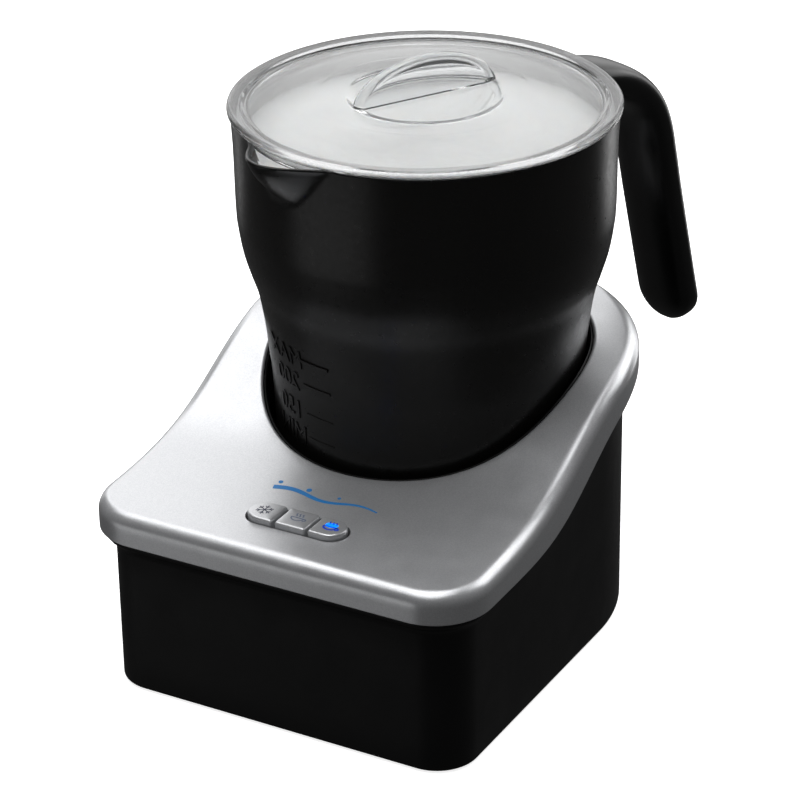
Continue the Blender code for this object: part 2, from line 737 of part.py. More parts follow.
def make_whisk():
    place = at(0, 0, 0)
    hub = [
        (0.0024, 0.0590),
        (0.0042, 0.0590),
        (0.0042, 0.0520),
        (0.0120, 0.0510),
        (0.0120, 0.0472),
        (0.0050, 0.0472),
        (0.0050, 0.0480),
        (0.0024, 0.0480),
    ]
    body = turned("whisk_hub", "grey_plastic", hub, place, 24, True)
    for number, side in enumerate((-1, 1), 1):
        pocket_place = at(side * 0.0084, 0, 0)
        cut(body, cylinder(f"whisk_pocket_{number}", None, 0.0029, 0.0465, 0.0499, pocket_place, 16))
        magnet = [(0, 0.0496), (0.0026, 0.0496), (0.0026, 0.0474), (0, 0.0474)]
        turned(f"whisk_magnet_{number}", "magnet", magnet, pocket_place, 16)
    ring = [(0.0148 + 0.0024 * cos(radians(a)), 0.0492 + 0.0020 * sin(radians(a))) for a in range(90, -270, -60)]
    turned("whisk_coil", "steel", ring, place, 24, True)


def make_lid():
    """Clear lid: flange on the rim, plug inside it, sunk disc with a dish and an arched fin to lift it by."""
    place = at(0, 0, 0)
    profile = [
        (0, LID_DISH),
        (0.0194, LID_DISH),
        (0.0216, 0.1580),
        (0.0300, 0.1576),
        (0.0400, 0.1566),
        (0.0494, 0.1554),
        (0.0504, LID_TOP - 0.0002),
        (0.0538, LID_TOP),
        (LID_RADIUS, LID_TOP - 0.0007),
        (LID_RADIUS, JUG_RIM + GAP),
        (0.0514, JUG_RIM + GAP),
        (0.0514, 0.1534),
        (0.0507, 0.1534),
        (0.0507, 0.1516),
        (0.0514, 0.1516),
        (0.0514, 0.1506),
        (0.0497, 0.1506),
        (0.0493, 0.1540),
        (0.0400, 0.1552),
        (0.0300, 0.1562),
        (0.0220, 0.1566),
        (0.0198, LID_DISH - 0.0014),
        (0, LID_DISH - 0.0014),
    ]
    lid = turned("lid", "clear_plastic", profile, place, AROUND)
    seal = [(0.0510, 0.1531), (0.0523, 0.1528), (0.0523, 0.1522), (0.0510, 0.1519)]
    turned("lid_seal", "seal_rubber", seal, place, AROUND, True)

    plan = [(FIN_LENGTH / 2 * cos(radians(a)), FIN_HEIGHT * sin(radians(a))) for a in range(0, 181, 15)]
    bm = bmesh.new()
    turn = Matrix.Rotation(radians(FIN_ANGLE), 4, "Z")
    shift = Matrix.Translation(at(0, 0, LID_DISH - 0.0003))
    sides = []
    for y in (-FIN_THICKNESS / 2, FIN_THICKNESS / 2):
        sides.append([bm.verts.new(shift @ turn @ Vector((x, y, z))) for x, z in plan])
    bm.faces.new(sides[0])
    bm.faces.new(sides[1])
    for i in range(len(plan)):
        j = (i + 1) % len(plan)
        bm.faces.new((sides[0][i], sides[0][j], sides[1][j], sides[1][i]))
    join(lid, add_object("lid_fin", mesh_from("lid_fin", bm), None))


make_housing()
make_bottom_cover()
make_top_cover()
make_jug_well()
make_feet_and_screws()
make_cord_gland()
make_heater()
make_sensor()
make_motor()
for index in range(3):
    make_button(index)
make_control_board()
make_power_board()
make_jug()
make_handle()
make_whisk()
make_lid()
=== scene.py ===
"""Looks for the milk frother: fine visible shapes, procedural materials, studio and camera.

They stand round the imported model. Units are metres, +Z is up and the buttons face -Y. The jug's
axis is vertical through AXIS, and places given to at() are measured from that axis.
"""

from math import cos, exp, pi, radians, sin, sqrt

import bmesh
import bpy
from mathutils import Matrix, Vector, noise


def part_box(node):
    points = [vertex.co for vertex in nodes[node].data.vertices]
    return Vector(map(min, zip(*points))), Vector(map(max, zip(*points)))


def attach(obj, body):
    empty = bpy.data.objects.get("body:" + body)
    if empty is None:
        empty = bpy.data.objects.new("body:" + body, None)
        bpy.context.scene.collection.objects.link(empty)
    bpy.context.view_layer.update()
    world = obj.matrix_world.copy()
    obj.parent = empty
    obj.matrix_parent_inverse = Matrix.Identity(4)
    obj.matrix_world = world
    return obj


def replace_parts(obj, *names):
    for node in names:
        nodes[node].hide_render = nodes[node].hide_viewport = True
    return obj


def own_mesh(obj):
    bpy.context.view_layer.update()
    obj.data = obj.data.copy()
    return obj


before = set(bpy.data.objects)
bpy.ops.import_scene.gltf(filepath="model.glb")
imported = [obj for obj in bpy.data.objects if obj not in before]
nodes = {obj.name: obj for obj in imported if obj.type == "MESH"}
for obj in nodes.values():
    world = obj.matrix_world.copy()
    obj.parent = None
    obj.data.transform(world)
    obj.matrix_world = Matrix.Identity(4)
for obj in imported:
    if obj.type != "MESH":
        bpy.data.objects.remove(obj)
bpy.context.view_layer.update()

# ---- the part's own dimensions ----

hub_low, hub_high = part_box("whisk_hub")
AXIS = Vector((0, (hub_low.y + hub_high.y) / 2, 0))
HALF_WIDTH = 0.0562
FRONT_REACH = 0.0885
FRONT_CORNER = 0.0123
WALL = 0.0024
HOUSING_LOW = 0.0005
FOOT_ROUND = 0.0010
COVER_LOW = 0.0577
COVER_RISE = 0.0283
RISE_MIDDLE = -0.0210
RISE_LENGTH = 0.0137
COVER_PROUD = 0.0044
COVER_ROUND = 0.0040
COVER_WALL = 0.0022
SKIRT_DROP = 0.0092
SKIRT_EXTRA = 0.0040
STEEP_MIDDLE = -0.0250
STEEP_LENGTH = 0.0300
HOLE_RADIUS = 0.0475
WELL_RADIUS = 0.0472
WELL_INNER = 0.0464
WELL_FLOOR = 0.0424
INLET_HEIGHT = 0.0160
PLATE_RADIUS = 0.0352
SENSOR_Y = 0.0195
JUG_BOTTOM = 0.0443
JUG_WALL = 0.0012
JUG_RIM = 0.1545
FROTH_LEVEL = 0.1452
SPOUT_ANGLE = 253.5
SPOUT_REACH = 0.0097
SPOUT_DEPTH = 0.0126
SPOUT_RISE = 0.0012
SPOUT_HALF_ANGLE = 18.5
HANDLE_ANGLE = 71
HANDLE_HALF_WIDTH = 0.0105
HANDLE_HALF_DEPTH = 0.0053
HANDLE_TIP = 0.0096
HANDLE_BEVEL = 0.0006
LID_TOP = 0.1566
LID_RADIUS = 0.0550
LID_DISH = 0.1571
FIN_ANGLE = 59
FIN_LENGTH = 0.0452
FIN_HEIGHT = 0.0122
FIN_THICKNESS = 0.0030
BUTTON_Y = -0.0742
BUTTON_WIDTH = 0.0094
BUTTON_DEPTH = 0.0094
BUTTON_GAP = 0.0010
BUTTON_TOP = 0.0600
BUTTON_PITCH = BUTTON_WIDTH + BUTTON_GAP
GAP = 0.0003

AROUND = 192  # steps round a full turn of the finest pieces
POLE = 1e-7  # a radius below this is a point on the axis
SHARP = 35  # degrees between faces that makes an edge sharp
BACK_STEPS = 88
SIDE_STEPS = 20
CORNER_STEPS = 16
FRONT_STEPS = 24

# ---- mesh helpers ----


def at(x, y, z):
    """A place measured from the jug axis."""
    return AXIS + Vector((x, y, z))


def mesh_from(name, bm):
    """A mesh from bm, which is used up."""
    mesh = bpy.data.meshes.new(name)
    bm.to_mesh(mesh)
    bm.free()
    return mesh


def linked(name, data):
    """A new object, linked to the scene."""
    obj = bpy.data.objects.new(name, data)
    bpy.context.scene.collection.objects.link(obj)
    return obj


def piece(name, bm, finish, body, angle=SHARP):
    """A named object from bm, which rides on a body. Its one slot holds the material of its finish."""
    bmesh.ops.recalc_face_normals(bm, faces=bm.faces)
    mesh = mesh_from(name, bm)
    mesh.shade_smooth()
    mesh.set_sharp_from_angle(angle=radians(angle))
    mesh.materials.append(MATERIALS[finish])
    obj = linked(name, mesh)
    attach(obj, body)
    return obj


def skin(bm, rows, closed=False):
    """Faces between rows of vertices. A row of one is a pole. Closed joins the last row to the first."""
    pairs = list(zip(rows, rows[1:]))
    if closed:
        pairs.append((rows[-1], rows[0]))
    for lower, upper in pairs:
        count = max(len(lower), len(upper))
        if count == 1:
            continue
        for i in range(count):
            j = (i + 1) % count
            if len(lower) == 1:
                bm.faces.new((lower[0], upper[j], upper[i]))
            elif len(upper) == 1:
                bm.faces.new((lower[i], lower[j], upper[0]))
            else:
                bm.faces.new((lower[i], lower[j], upper[j], upper[i]))


def join_rings(bm, rings, closed):
    """Adds a loft through rings of equal point count, closed on itself or capped at both ends."""
    rows = [[bm.verts.new(point) for point in ring] for ring in rings]
    skin(bm, rows, closed)
    if not closed:
        bm.faces.new(rows[0][::-1])
        bm.faces.new(rows[-1])


def loft(rings, closed=True):
    """A new body through the rings."""
    bm = bmesh.new()
    join_rings(bm, rings, closed)
    return bm


def turned(profile, steps=96, centre=None, axis="Z", bm=None, closed=False):
    """A profile of (radius, height) turned round an axis. Points at radius 0 become the poles."""
    bm = bm or bmesh.new()
    centre = centre or at(0, 0, 0)
    rows = []
    for radius, height in profile:
        angles = [2 * pi * k / steps for k in range(1 if radius < POLE else steps)]
        places = [(radius * cos(angle), radius * sin(angle)) for angle in angles]
        row = [(x, y, height) if axis == "Z" else (x, height, y) for x, y in places]
        rows.append([bm.verts.new(centre + Vector(point)) for point in row])
    skin(bm, rows, closed)
    return bm


def rounded(points, radius, closed=False, steps=4):
    """The same outline with its corners rounded off, by at most 45% of the shorter side beside each."""
    count = len(points)
    made = []
    for i, corner in enumerate(points):
        if not closed and i in (0, count - 1):
            made.append(tuple(corner))
            continue
        here = Vector(corner)
        before = Vector(points[i - 1]) - here
        after = Vector(points[(i + 1) % count]) - here
        cut = min(radius, 0.45 * before.length, 0.45 * after.length)
        start = here + before.normalized() * cut
        end = here + after.normalized() * cut
        for step in range(steps + 1):
            share = step / steps
            made.append(tuple(start * (1 - share) ** 2 + here * 2 * share * (1 - share) + end * share**2))
    return made


def smooth_path(points, steps):
    """A Catmull-Rom curve through the points, with steps pieces between each two."""
    known = [Vector(point) for point in points]
    known = [2 * known[0] - known[1]] + known + [2 * known[-1] - known[-2]]
    made = []
    for a, b, c, d in zip(known, known[1:], known[2:], known[3:]):
        for step in range(steps):
            t = step / steps
            square, cube = 2 * a - 5 * b + 4 * c - d, 3 * b - a - 3 * c + d
            made.append(0.5 * (2 * b + (c - a) * t + square * t**2 + cube * t**3))
    made.append(known[-2])
    return made


def sleeve(bm, inner, outer, low, high, place):
    """Adds an upright sleeve with softened edges."""
    profile = [(inner, low), (outer, low), (outer, high), (inner, high)]
    turned(rounded(profile, 0.0003, True, 2), 32, place, bm=bm, closed=True)


def boolean(target, bm, operation):
    """Cuts the body in bm from the target, or joins it on."""
    bmesh.ops.recalc_face_normals(bm, faces=bm.faces)
    other = linked("cutter", mesh_from("cutter", bm))
    modifier = target.modifiers.new("Boolean", "BOOLEAN")
    modifier.operation = operation
    modifier.object = other
    modifier.solver = "EXACT"
    bpy.context.view_layer.update()
    evaluated = target.evaluated_get(bpy.context.evaluated_depsgraph_get())
    result = bpy.data.meshes.new_from_object(evaluated)
    target.modifiers.remove(modifier)
    old = target.data
    target.data = result
    bpy.data.meshes.remove(old)
    bpy.data.objects.remove(other)
    target.data.set_sharp_from_angle(angle=radians(SHARP))


# ---- shape laws of the base ----


def cover_height(y):
    """Height of the cover's surface at y, measured from the jug axis."""
    return COVER_LOW + COVER_RISE / (1 + exp(-(y - RISE_MIDDLE) / RISE_LENGTH))


def skirt_height(y):
    """Height of the cover's lower edge. The skirt is deeper where the cover is steep."""
    steep = exp(-(((y - STEEP_MIDDLE) / STEEP_LENGTH) ** 2))
    return cover_height(y) - SKIRT_DROP - SKIRT_EXTRA * steep


def arc(centre, radius, start, end, steps):
    """Points along an arc, leaving out its last one."""
    angles = [radians(start + (end - start) * i / steps) for i in range(steps)]
    return [(centre[0] + radius * cos(a), centre[1] + radius * sin(a)) for a in angles]


def straight(start, end, steps):
    """Points along a line, leaving out its last one."""
    shares = [i / steps for i in range(steps)]
    return [tuple(a + (b - a) * share for a, b in zip(start, end)) for share in shares]


def outline(offset=0.0):
    """Plan of the base, measured from the jug axis, moved outwards by offset."""
    side = HALF_WIDTH + offset
    front = -FRONT_REACH - offset
    inner = HALF_WIDTH - FRONT_CORNER
    corner_y = -FRONT_REACH + FRONT_CORNER
    radius = FRONT_CORNER + offset
    points = arc((0, 0), side, 0, 180, BACK_STEPS)
    points += straight((-side, 0), (-side, corner_y), SIDE_STEPS)
    points += arc((-inner, corner_y), radius, 180, 270, CORNER_STEPS)
    points += straight((-inner, front), (inner, front), FRONT_STEPS)
    points += arc((inner, corner_y), radius, 270, 360, CORNER_STEPS)
    points += straight((side, corner_y), (side, 0), SIDE_STEPS)
    return points


def well_circle(radius):
    """A circle round the jug axis, with a point in the direction of each point of the outline."""
    return [(radius * x / sqrt(x * x + y * y), radius * y / sqrt(x * x + y * y)) for x, y in outline()]


def between(first, second, share):
    """The plan that lies that share of the way from the first to the second."""
    return [(a[0] + (b[0] - a[0]) * share, a[1] + (b[1] - a[1]) * share) for a, b in zip(first, second)]


def climb(low, high, count):
    """Rings up from low, which is left out, to high."""
    return [[a + (b - a) * k / count for a, b in zip(low, high)] for k in range(1, count + 1)]


def level(points, height):
    """The plan at one height."""
    return [at(x, y, height) for x, y in points]


def under_cover(points, drop=0.0):
    """The points laid on the cover's surface, or below it by drop."""
    return [at(x, y, cover_height(y) - drop) for x, y in points]


def by_skirt(points, rise=0.0):
    """The points at the height of the cover's lower edge, or above it by rise."""
    return [at(x, y, skirt_height(y) + rise) for x, y in points]


# ---- materials ----


class Finish:
    """Short names for building one procedural material. Sizes are in metres."""

    def __init__(self, name):
        self.material = bpy.data.materials.new(name)
        self.material.use_nodes = True
        self.tree = self.material.node_tree
        self.shader = self.tree.nodes["Principled BSDF"]
        self.place = self.tree.nodes.new("ShaderNodeTexCoord").outputs["Object"]

    def plug(self, socket, value):
        if isinstance(value, bpy.types.NodeSocket):
            self.tree.links.new(value, socket)
        else:
            socket.default_value = value

    def node(self, kind, settings=(), **inputs):
        made = self.tree.nodes.new(kind)
        for key, value in dict(settings).items():
            setattr(made, key, value)
        for key, value in inputs.items():
            self.plug(made.inputs[key.replace("_", " ")], value)
        return made

    def plain(self, **values):
        for key, value in values.items():
            self.plug(self.shader.inputs[key.replace("_", " ")], value)

    def moved(self, offset=(0, 0, 0), scale=(1, 1, 1)):
        made = self.node("ShaderNodeMapping", Vector=self.place, Location=offset, Scale=scale)
        return made.outputs["Vector"]

    def noise(self, size, detail=2.0, place=None):
        made = self.node("ShaderNodeTexNoise", Vector=place or self.place, Scale=1 / size, Detail=detail)
        return made.outputs["Fac"]

    def cells(self, size, feature="F1", output="Distance"):
        made = self.node("ShaderNodeTexVoronoi", {"feature": feature}, Vector=self.place, Scale=1 / size)
        return made.outputs[output]

    def waves(self, size, distortion, place=None, detail=2.0, **settings):
        made = self.node(
            "ShaderNodeTexWave",
            settings,
            Vector=place or self.place,
            Scale=1 / size,
            Distortion=distortion,
            Detail=detail,
        )
        return made.outputs["Fac"]

    def spread(self, value, low, high, start=0.3, end=0.7):
        """The value stretched from the range start to end, to the range low to high."""
        ends = {"From_Min": start, "From_Max": end, "To_Min": low, "To_Max": high}
        return self.node("ShaderNodeMapRange", Value=value, **ends).outputs["Result"]

    def maths(self, operation, *values):
        made = self.node("ShaderNodeMath", {"operation": operation})
        for socket, value in zip(made.inputs, values):
            self.plug(socket, value)
        return made.outputs["Value"]

    def colour(self, share, first, second):
        made = self.node("ShaderNodeMix", {"data_type": "RGBA"}, Factor=share, A=(*first, 1), B=(*second, 1))
        self.plug(self.shader.inputs["Base Color"], made.outputs["Result"])

    def rough(self, value, low, high):
        self.plug(self.shader.inputs["Roughness"], self.spread(value, low, high))

    def bumps(self, *layers):
        """Layers of (height value, depth in metres)."""
        normal = None
        for value, depth in layers:
            made = self.node("ShaderNodeBump", Height=value, Distance=depth, Strength=1.0)
            if normal:
                self.tree.links.new(normal, made.inputs["Normal"])
            normal = made.outputs["Normal"]
        self.plug(self.shader.inputs["Normal"], normal)

    def edges(self):
        """1 on convex edges and 0 elsewhere."""
        return self.spread(self.node("ShaderNodeNewGeometry").outputs["Pointiness"], 0, 1, 0.5, 0.6)


def moulded(name, dark, light, rough_low, rough_high, grain, depth, specular):
    """Moulded plastic with a fine spark-eroded grain and slightly shinier worn edges."""
    f = Finish(name)
    fine = f.noise(grain, 3)
    broad = f.noise(0.012, 3)
    f.colour(broad, dark, light)
    worn = f.maths("MULTIPLY", f.edges(), -0.08)
    base = f.spread(broad, rough_low, rough_high)
    f.plain(Roughness=f.maths("ADD", base, worn), Specular_IOR_Level=specular)
    f.bumps((fine, depth))
    return f.material


def silver_paint():
    """Satin metallic paint: fine flakes over a slight orange peel."""
    f = Finish("silver_paint")
    flake = f.cells(0.00022, output="Color")
    glint = f.spread(flake, 0.0, 1.0, 0.0, 1.0)
    f.colour(glint, (0.53, 0.54, 0.56), (0.66, 0.665, 0.68))
    f.rough(f.noise(0.006, 3), 0.30, 0.37)
    f.bumps((f.noise(0.0011, 2), 0.000004), (flake, 0.000003))
    f.plain(Metallic=0.62, Coat_Weight=0.25, Coat_Roughness=0.22, Specular_IOR_Level=0.5)
    return f.material


def jug_coating():
    """Sprayed non-stick coating: warm black, with an orange peel and a fine grain."""
    f = Finish("jug_coating")
    broad = f.noise(0.009, 3)
    f.colour(broad, (0.0050, 0.0047, 0.0044), (0.0078, 0.0073, 0.0068))
    f.rough(f.noise(0.0016, 3), 0.27, 0.35)
    f.bumps((f.noise(0.0022, 2), 0.000012), (f.noise(0.00025, 2), 0.000006))
    f.plain(Specular_IOR_Level=0.34)
    return f.material


def clear_plastic():
    """Clear moulded plastic with faint flow lines and handling haze, painted grey in its rim: a painted shade
    that dulls the rim's bright refracted light.
    """
    f = Finish("clear_plastic")
    from_axis = f.moved(offset=-AXIS, scale=(1, 1, 0))
    reach = f.node("ShaderNodeVectorMath", {"operation": "LENGTH"}, Vector=from_axis).outputs["Value"]
    # painted shade: the colour turns grey from 48.5 mm out from the axis, which dulls the light in the lid's
    # rim
    thick = f.spread(reach, 0.0, 1.0, 0.0485, 0.0497)
    cloud = f.spread(f.noise(0.02, 2), 0.0, 0.12)
    f.colour(f.maths("MAXIMUM", thick, cloud), (0.89, 0.90, 0.905), (0.60, 0.605, 0.61))
    f.rough(f.noise(0.008, 4), 0.06, 0.10)
    f.bumps((f.noise(0.014, 2), 0.00001))
    f.plain(Transmission_Weight=0.95, IOR=1.33)
    return f.material


def froth_white():
    """Milk foam: soft white with fine bubbles of two sizes."""
    f = Finish("milk_froth")
    large = f.cells(0.0016, "SMOOTH_F1")
    small = f.cells(0.0005)
    f.colour(f.spread(large, 0, 1, 0.1, 0.7), (0.93, 0.925, 0.91), (0.86, 0.855, 0.84))
    f.rough(f.noise(0.003, 3), 0.50, 0.65)
    f.bumps((f.noise(0.006, 3), 0.0002), (large, 0.00008), (small, 0.00003))
    f.plain(Subsurface_Weight=0.35, Subsurface_Radius=(0.004, 0.0035, 0.003), Subsurface_Scale=1.0)
    return f.material


def silicone():
    """Milky silicone rubber."""
    f = Finish("seal_silicone")
    f.colour(f.noise(0.004, 2), (0.70, 0.71, 0.71), (0.78, 0.79, 0.79))
    f.rough(f.noise(0.002, 3), 0.45, 0.6)
    f.bumps((f.noise(0.0006, 2), 0.00001))
    f.plain(Subsurface_Weight=0.2, Subsurface_Radius=(0.002, 0.002, 0.002), Subsurface_Scale=1.0)
    return f.material


def turned_metal(name, dark, light, low, high, ring, depth):
    """Metal with the fine rings that a lathe leaves round the jug axis."""
    f = Finish(name)
    rings = f.waves(ring * 20, 0.4, f.moved(offset=-AXIS), wave_type="RINGS", rings_direction="Z")
    f.colour(f.noise(0.006, 3), dark, light)
    f.rough(f.noise(0.002, 3), low, high)
    f.bumps((rings, depth), (f.noise(0.0008, 2), depth / 2))
    f.plain(Metallic=1.0)
    return f.material


def brushed_metal(name, dark, light, low, high, stretch):
    """Drawn or rolled metal, with fine marks along one way."""
    f = Finish(name)
    marks = f.noise(0.0003, 3, f.moved(scale=stretch))
    f.colour(marks, dark, light)
    f.rough(f.noise(0.003, 3), low, high)
    f.bumps((marks, 0.000006))
    f.plain(Metallic=1.0)
    return f.material


def circuit_board():
    """Green solder mask over paler copper tracks."""
    f = Finish("circuit_board")
    tracks = f.cells(0.0045, "DISTANCE_TO_EDGE")
    copper = f.spread(tracks, 1, 0, 0.03, 0.05)
    weave = f.noise(0.0004, 2)
    f.colour(copper, (0.020, 0.135, 0.055), (0.075, 0.27, 0.10))
    f.rough(f.noise(0.002, 2), 0.3, 0.45)
    f.bumps((copper, 0.00003), (weave, 0.00001))
    f.plain(Coat_Weight=0.4, Coat_Roughness=0.15)
    return f.material


def winding_tape():
    """Yellow insulating tape round a transformer, in overlapping bands."""
    f = Finish("winding_tape")
    bands = f.waves(0.06, 0.3, bands_direction="Z")
    f.colour(bands, (0.62, 0.43, 0.05), (0.78, 0.58, 0.11))
    f.rough(f.noise(0.002, 2), 0.3, 0.45)
    f.bumps((bands, 0.00005), (f.noise(0.0015, 3), 0.00003))
    return f.material


def print_ink(name, dark, light, glow=0.0):
    """Pad-printed ink, slightly uneven in tone, which glows if it is lit."""
    f = Finish(name)
    f.colour(f.noise(0.0006, 2), dark, light)
    f.rough(f.noise(0.0005, 2), 0.35, 0.5)
    if glow:
        f.plain(Emission_Color=(*light, 1), Emission_Strength=glow)
    return f.material


MATERIALS = {
    "silver_paint": silver_paint(),
    "jug_coating": jug_coating(),
    "clear_plastic": clear_plastic(),
    "milk_froth": froth_white(),
    "seal_rubber": silicone(),
    "circuit_board": circuit_board(),
    "winding_tape": winding_tape(),
    "aluminium": turned_metal(
        "turned_aluminium", (0.62, 0.63, 0.64), (0.70, 0.71, 0.72), 0.32, 0.40, ring=0.0009, depth=0.0000018
    ),
}
for name, *look in (  # dark and light colour, roughness from and to, size and depth of grain, specular level
    ("black_shell", (0.0042, 0.0042, 0.0044), (0.0062, 0.0062, 0.0065), 0.42, 0.54, 0.00035, 0.00002, 0.22),
    ("handle_black", (0.0032, 0.0032, 0.0033), (0.0048, 0.0048, 0.0049), 0.30, 0.38, 0.0005, 0.000012, 0.30),
    ("foot_rubber", (0.016, 0.016, 0.016), (0.028, 0.028, 0.027), 0.75, 0.9, 0.0005, 0.00005, 0.25),
    ("grey_plastic", (0.19, 0.20, 0.21), (0.25, 0.26, 0.27), 0.45, 0.6, 0.0004, 0.00002, 0.5),
    ("component", (0.035, 0.035, 0.04), (0.06, 0.06, 0.065), 0.4, 0.55, 0.0005, 0.00003, 0.4),
    ("ferrite", (0.028, 0.028, 0.030), (0.05, 0.05, 0.052), 0.5, 0.7, 0.0003, 0.00004, 0.4),
):
    MATERIALS[name] = moulded(name, *look)
for key, *look in (  # material name, dark and light colour, roughness from and to, stretch of the marks
    ("steel", "drawn_steel", (0.46, 0.46, 0.48), (0.58, 0.58, 0.60), 0.24, 0.4, (1, 1, 0.08)),
    ("sheath", "heater_sheath", (0.30, 0.27, 0.25), (0.44, 0.41, 0.38), 0.35, 0.5, (1, 1, 1)),
    ("zinc", "zinc_plate", (0.52, 0.52, 0.50), (0.64, 0.64, 0.62), 0.28, 0.45, (0.05, 1, 1)),
    ("magnet", "magnet_plating", (0.42, 0.42, 0.44), (0.52, 0.52, 0.54), 0.2, 0.35, (0.2, 1, 1)),
):
    MATERIALS[key] = brushed_metal(*look)
for name, *look in (  # dark and light colour, and the glow if it is lit
    ("dark_print", (0.035, 0.040, 0.070), (0.055, 0.065, 0.11)),
    ("grey_print", (0.10, 0.13, 0.21), (0.14, 0.18, 0.28)),
    ("blue_print", (0.005, 0.17, 0.50), (0.010, 0.24, 0.62)),
    ("lit_print", (0.0, 0.16, 0.80), (0.01, 0.28, 1.0), 0.9),
    ("deep_print", (0.0, 0.03, 0.34), (0.0, 0.05, 0.50), 0.25),
):
    MATERIALS[name] = print_ink(name, *look)

# ---- housing, cover and well ----

POSTS = [(0.0485, -0.0810), (-0.0485, -0.0810), (0.0385, 0.0323), (-0.0385, 0.0323)]
LEDGE = -0.0056  # start of the ledge, measured from the skirt's lower edge


def make_housing():
    """Walls with a rounded foot, a curved ledge under the cover's skirt, a lip inside it and four posts."""
    rings = [level(outline(-FOOT_ROUND), HOUSING_LOW)]
    for turn in range(15, 91, 15):
        inset = FOOT_ROUND * (1 - sin(radians(turn)))
        rings.append(level(outline(-inset), HOUSING_LOW + FOOT_ROUND * (1 - cos(radians(turn)))))
    rings += climb(level(outline(), HOUSING_LOW + FOOT_ROUND), by_skirt(outline(), LEDGE), 5)
    for turn in range(15, 76, 12):
        grow = 0.0030 * (1 - cos(radians(turn)))
        rings.append(by_skirt(outline(grow), LEDGE + 0.0032 * sin(radians(turn))))
    rings.append(by_skirt(outline(0.0029), -0.0016))
    rings.append(by_skirt(outline(0.0030), -0.0008))
    rings.append(by_skirt(outline(0.0028), -GAP))
    lip = COVER_PROUD - COVER_WALL - GAP
    rings += [
        by_skirt(outline(lip), -GAP),
        by_skirt(outline(lip), 0.0028),
        by_skirt(outline(lip - 0.0003), 0.0030),
        by_skirt(outline(-0.0006), 0.0030),
        by_skirt(outline(-WALL), -0.0040),
        level(outline(-WALL), 0.0300),
        level(outline(-WALL), HOUSING_LOW),
    ]
    bm = loft(rings)
    for x, y in POSTS:
        sleeve(bm, 0.0018, 0.0045, 0.0048, 0.0300, at(x, y, 0))
    housing = piece("housing_shell", bm, "black_shell", "base")
    inlet = [(0, 0.0450), (0.0064, 0.0450), (0.0064, 0.0600), (0, 0.0600)]
    boolean(housing, turned(inlet, 48, at(0, 0, INLET_HEIGHT), "Y"), "DIFFERENCE")
    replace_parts(housing, "base_housing")


def pill_plan(length, depth, steps=24):
    """Plan of the keys' opening, with round ends."""
    half = length / 2 - depth / 2
    plan = arc((half, BUTTON_Y), depth / 2, -90, 90, steps)
    plan += [(half, BUTTON_Y + depth / 2)]
    plan += arc((-half, BUTTON_Y), depth / 2, 90, 270, steps)
    plan += [(-half, BUTTON_Y - depth / 2)]
    return plan


def make_cover():
    """Silver cover: skirt, rounded edge, S-curved top, rolled edge round the well, and the keys' opening."""
    inner = COVER_PROUD - COVER_WALL
    rings = [by_skirt(outline(COVER_PROUD - 0.0004)), by_skirt(outline(COVER_PROUD), 0.0004)]
    edge = outline(COVER_PROUD)
    rings += climb(by_skirt(edge, 0.0004), under_cover(edge, COVER_ROUND), 4)
    for turn in range(10, 91, 10):
        inset = COVER_ROUND * (1 - cos(radians(turn)))
        drop = COVER_ROUND * (1 - sin(radians(turn)))
        rings.append(under_cover(outline(COVER_PROUD - inset), drop))
    top_edge = outline(COVER_PROUD - COVER_ROUND)
    roll = 0.0011
    hole_top = well_circle(HOLE_RADIUS + roll)
    rings += [under_cover(between(top_edge, hole_top, share / 16)) for share in range(1, 17)]
    for turn in range(15, 91, 15):
        circle = well_circle(HOLE_RADIUS + roll * (1 - sin(radians(turn))))
        rings.append(under_cover(circle, roll * (1 - cos(radians(turn)))))
    underside = outline(inner - 0.0020)
    lip = well_circle(HOLE_RADIUS + 0.0015)
    rings.append(under_cover(well_circle(HOLE_RADIUS), 0.0035))
    rings.append(under_cover(lip, 0.0035))
    rings.append(under_cover(lip, COVER_WALL))
    for share in (0.25, 0.5, 0.75, 1.0):
        rings.append(under_cover(between(lip, underside, share), COVER_WALL))
    rings.append(under_cover(outline(inner), COVER_WALL + 0.0020))
    rings.append(by_skirt(outline(inner)))
    cover = piece("silver_cover", loft(rings), "silver_paint", "base")
    plan = pill_plan(3 * BUTTON_PITCH + 0.0006, BUTTON_DEPTH + 0.0008)
    boolean(cover, loft([level(plan, 0.0500), level(plan, 0.0650)], False), "DIFFERENCE")
    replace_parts(cover, "top_cover")


def make_well():
    """Black lining: lip under the cover, wall down to the floor, the plate's opening and two screw bosses."""
    hung = [(WELL_RADIUS, 0.0009), (WELL_RADIUS, 0.0040)]
    hung += [(0.0515, 0.0040), (0.0515, 0.0055), (0.0480, 0.0055)]
    lower = [
        (0.0474, 0.0440), (0.0468, 0.0400), (PLATE_RADIUS + 0.0004, 0.0400),
        (PLATE_RADIUS + 0.0004, WELL_FLOOR), (0.0430, WELL_FLOOR), (0.0446, 0.0428),
        (0.0455, 0.0440),
    ]
    mouth = [(WELL_INNER, 0.0016), (WELL_INNER + 0.0003, 0.0008), (WELL_INNER + 0.0005, 0.0006)]
    rings = [under_cover(well_circle(radius), drop) for radius, drop in hung]
    rings += [level(well_circle(radius), height) for radius, height in lower]
    rings += [under_cover(well_circle(radius), drop) for radius, drop in mouth]
    bm = loft(rings)
    for side in (-1, 1):
        sleeve(bm, 0.0016, 0.0033, 0.0314, 0.0405, at(side * 0.0435, 0, 0))
    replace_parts(piece("well_lining", bm, "black_shell", "base"), "jug_well")


# ---- jug ----

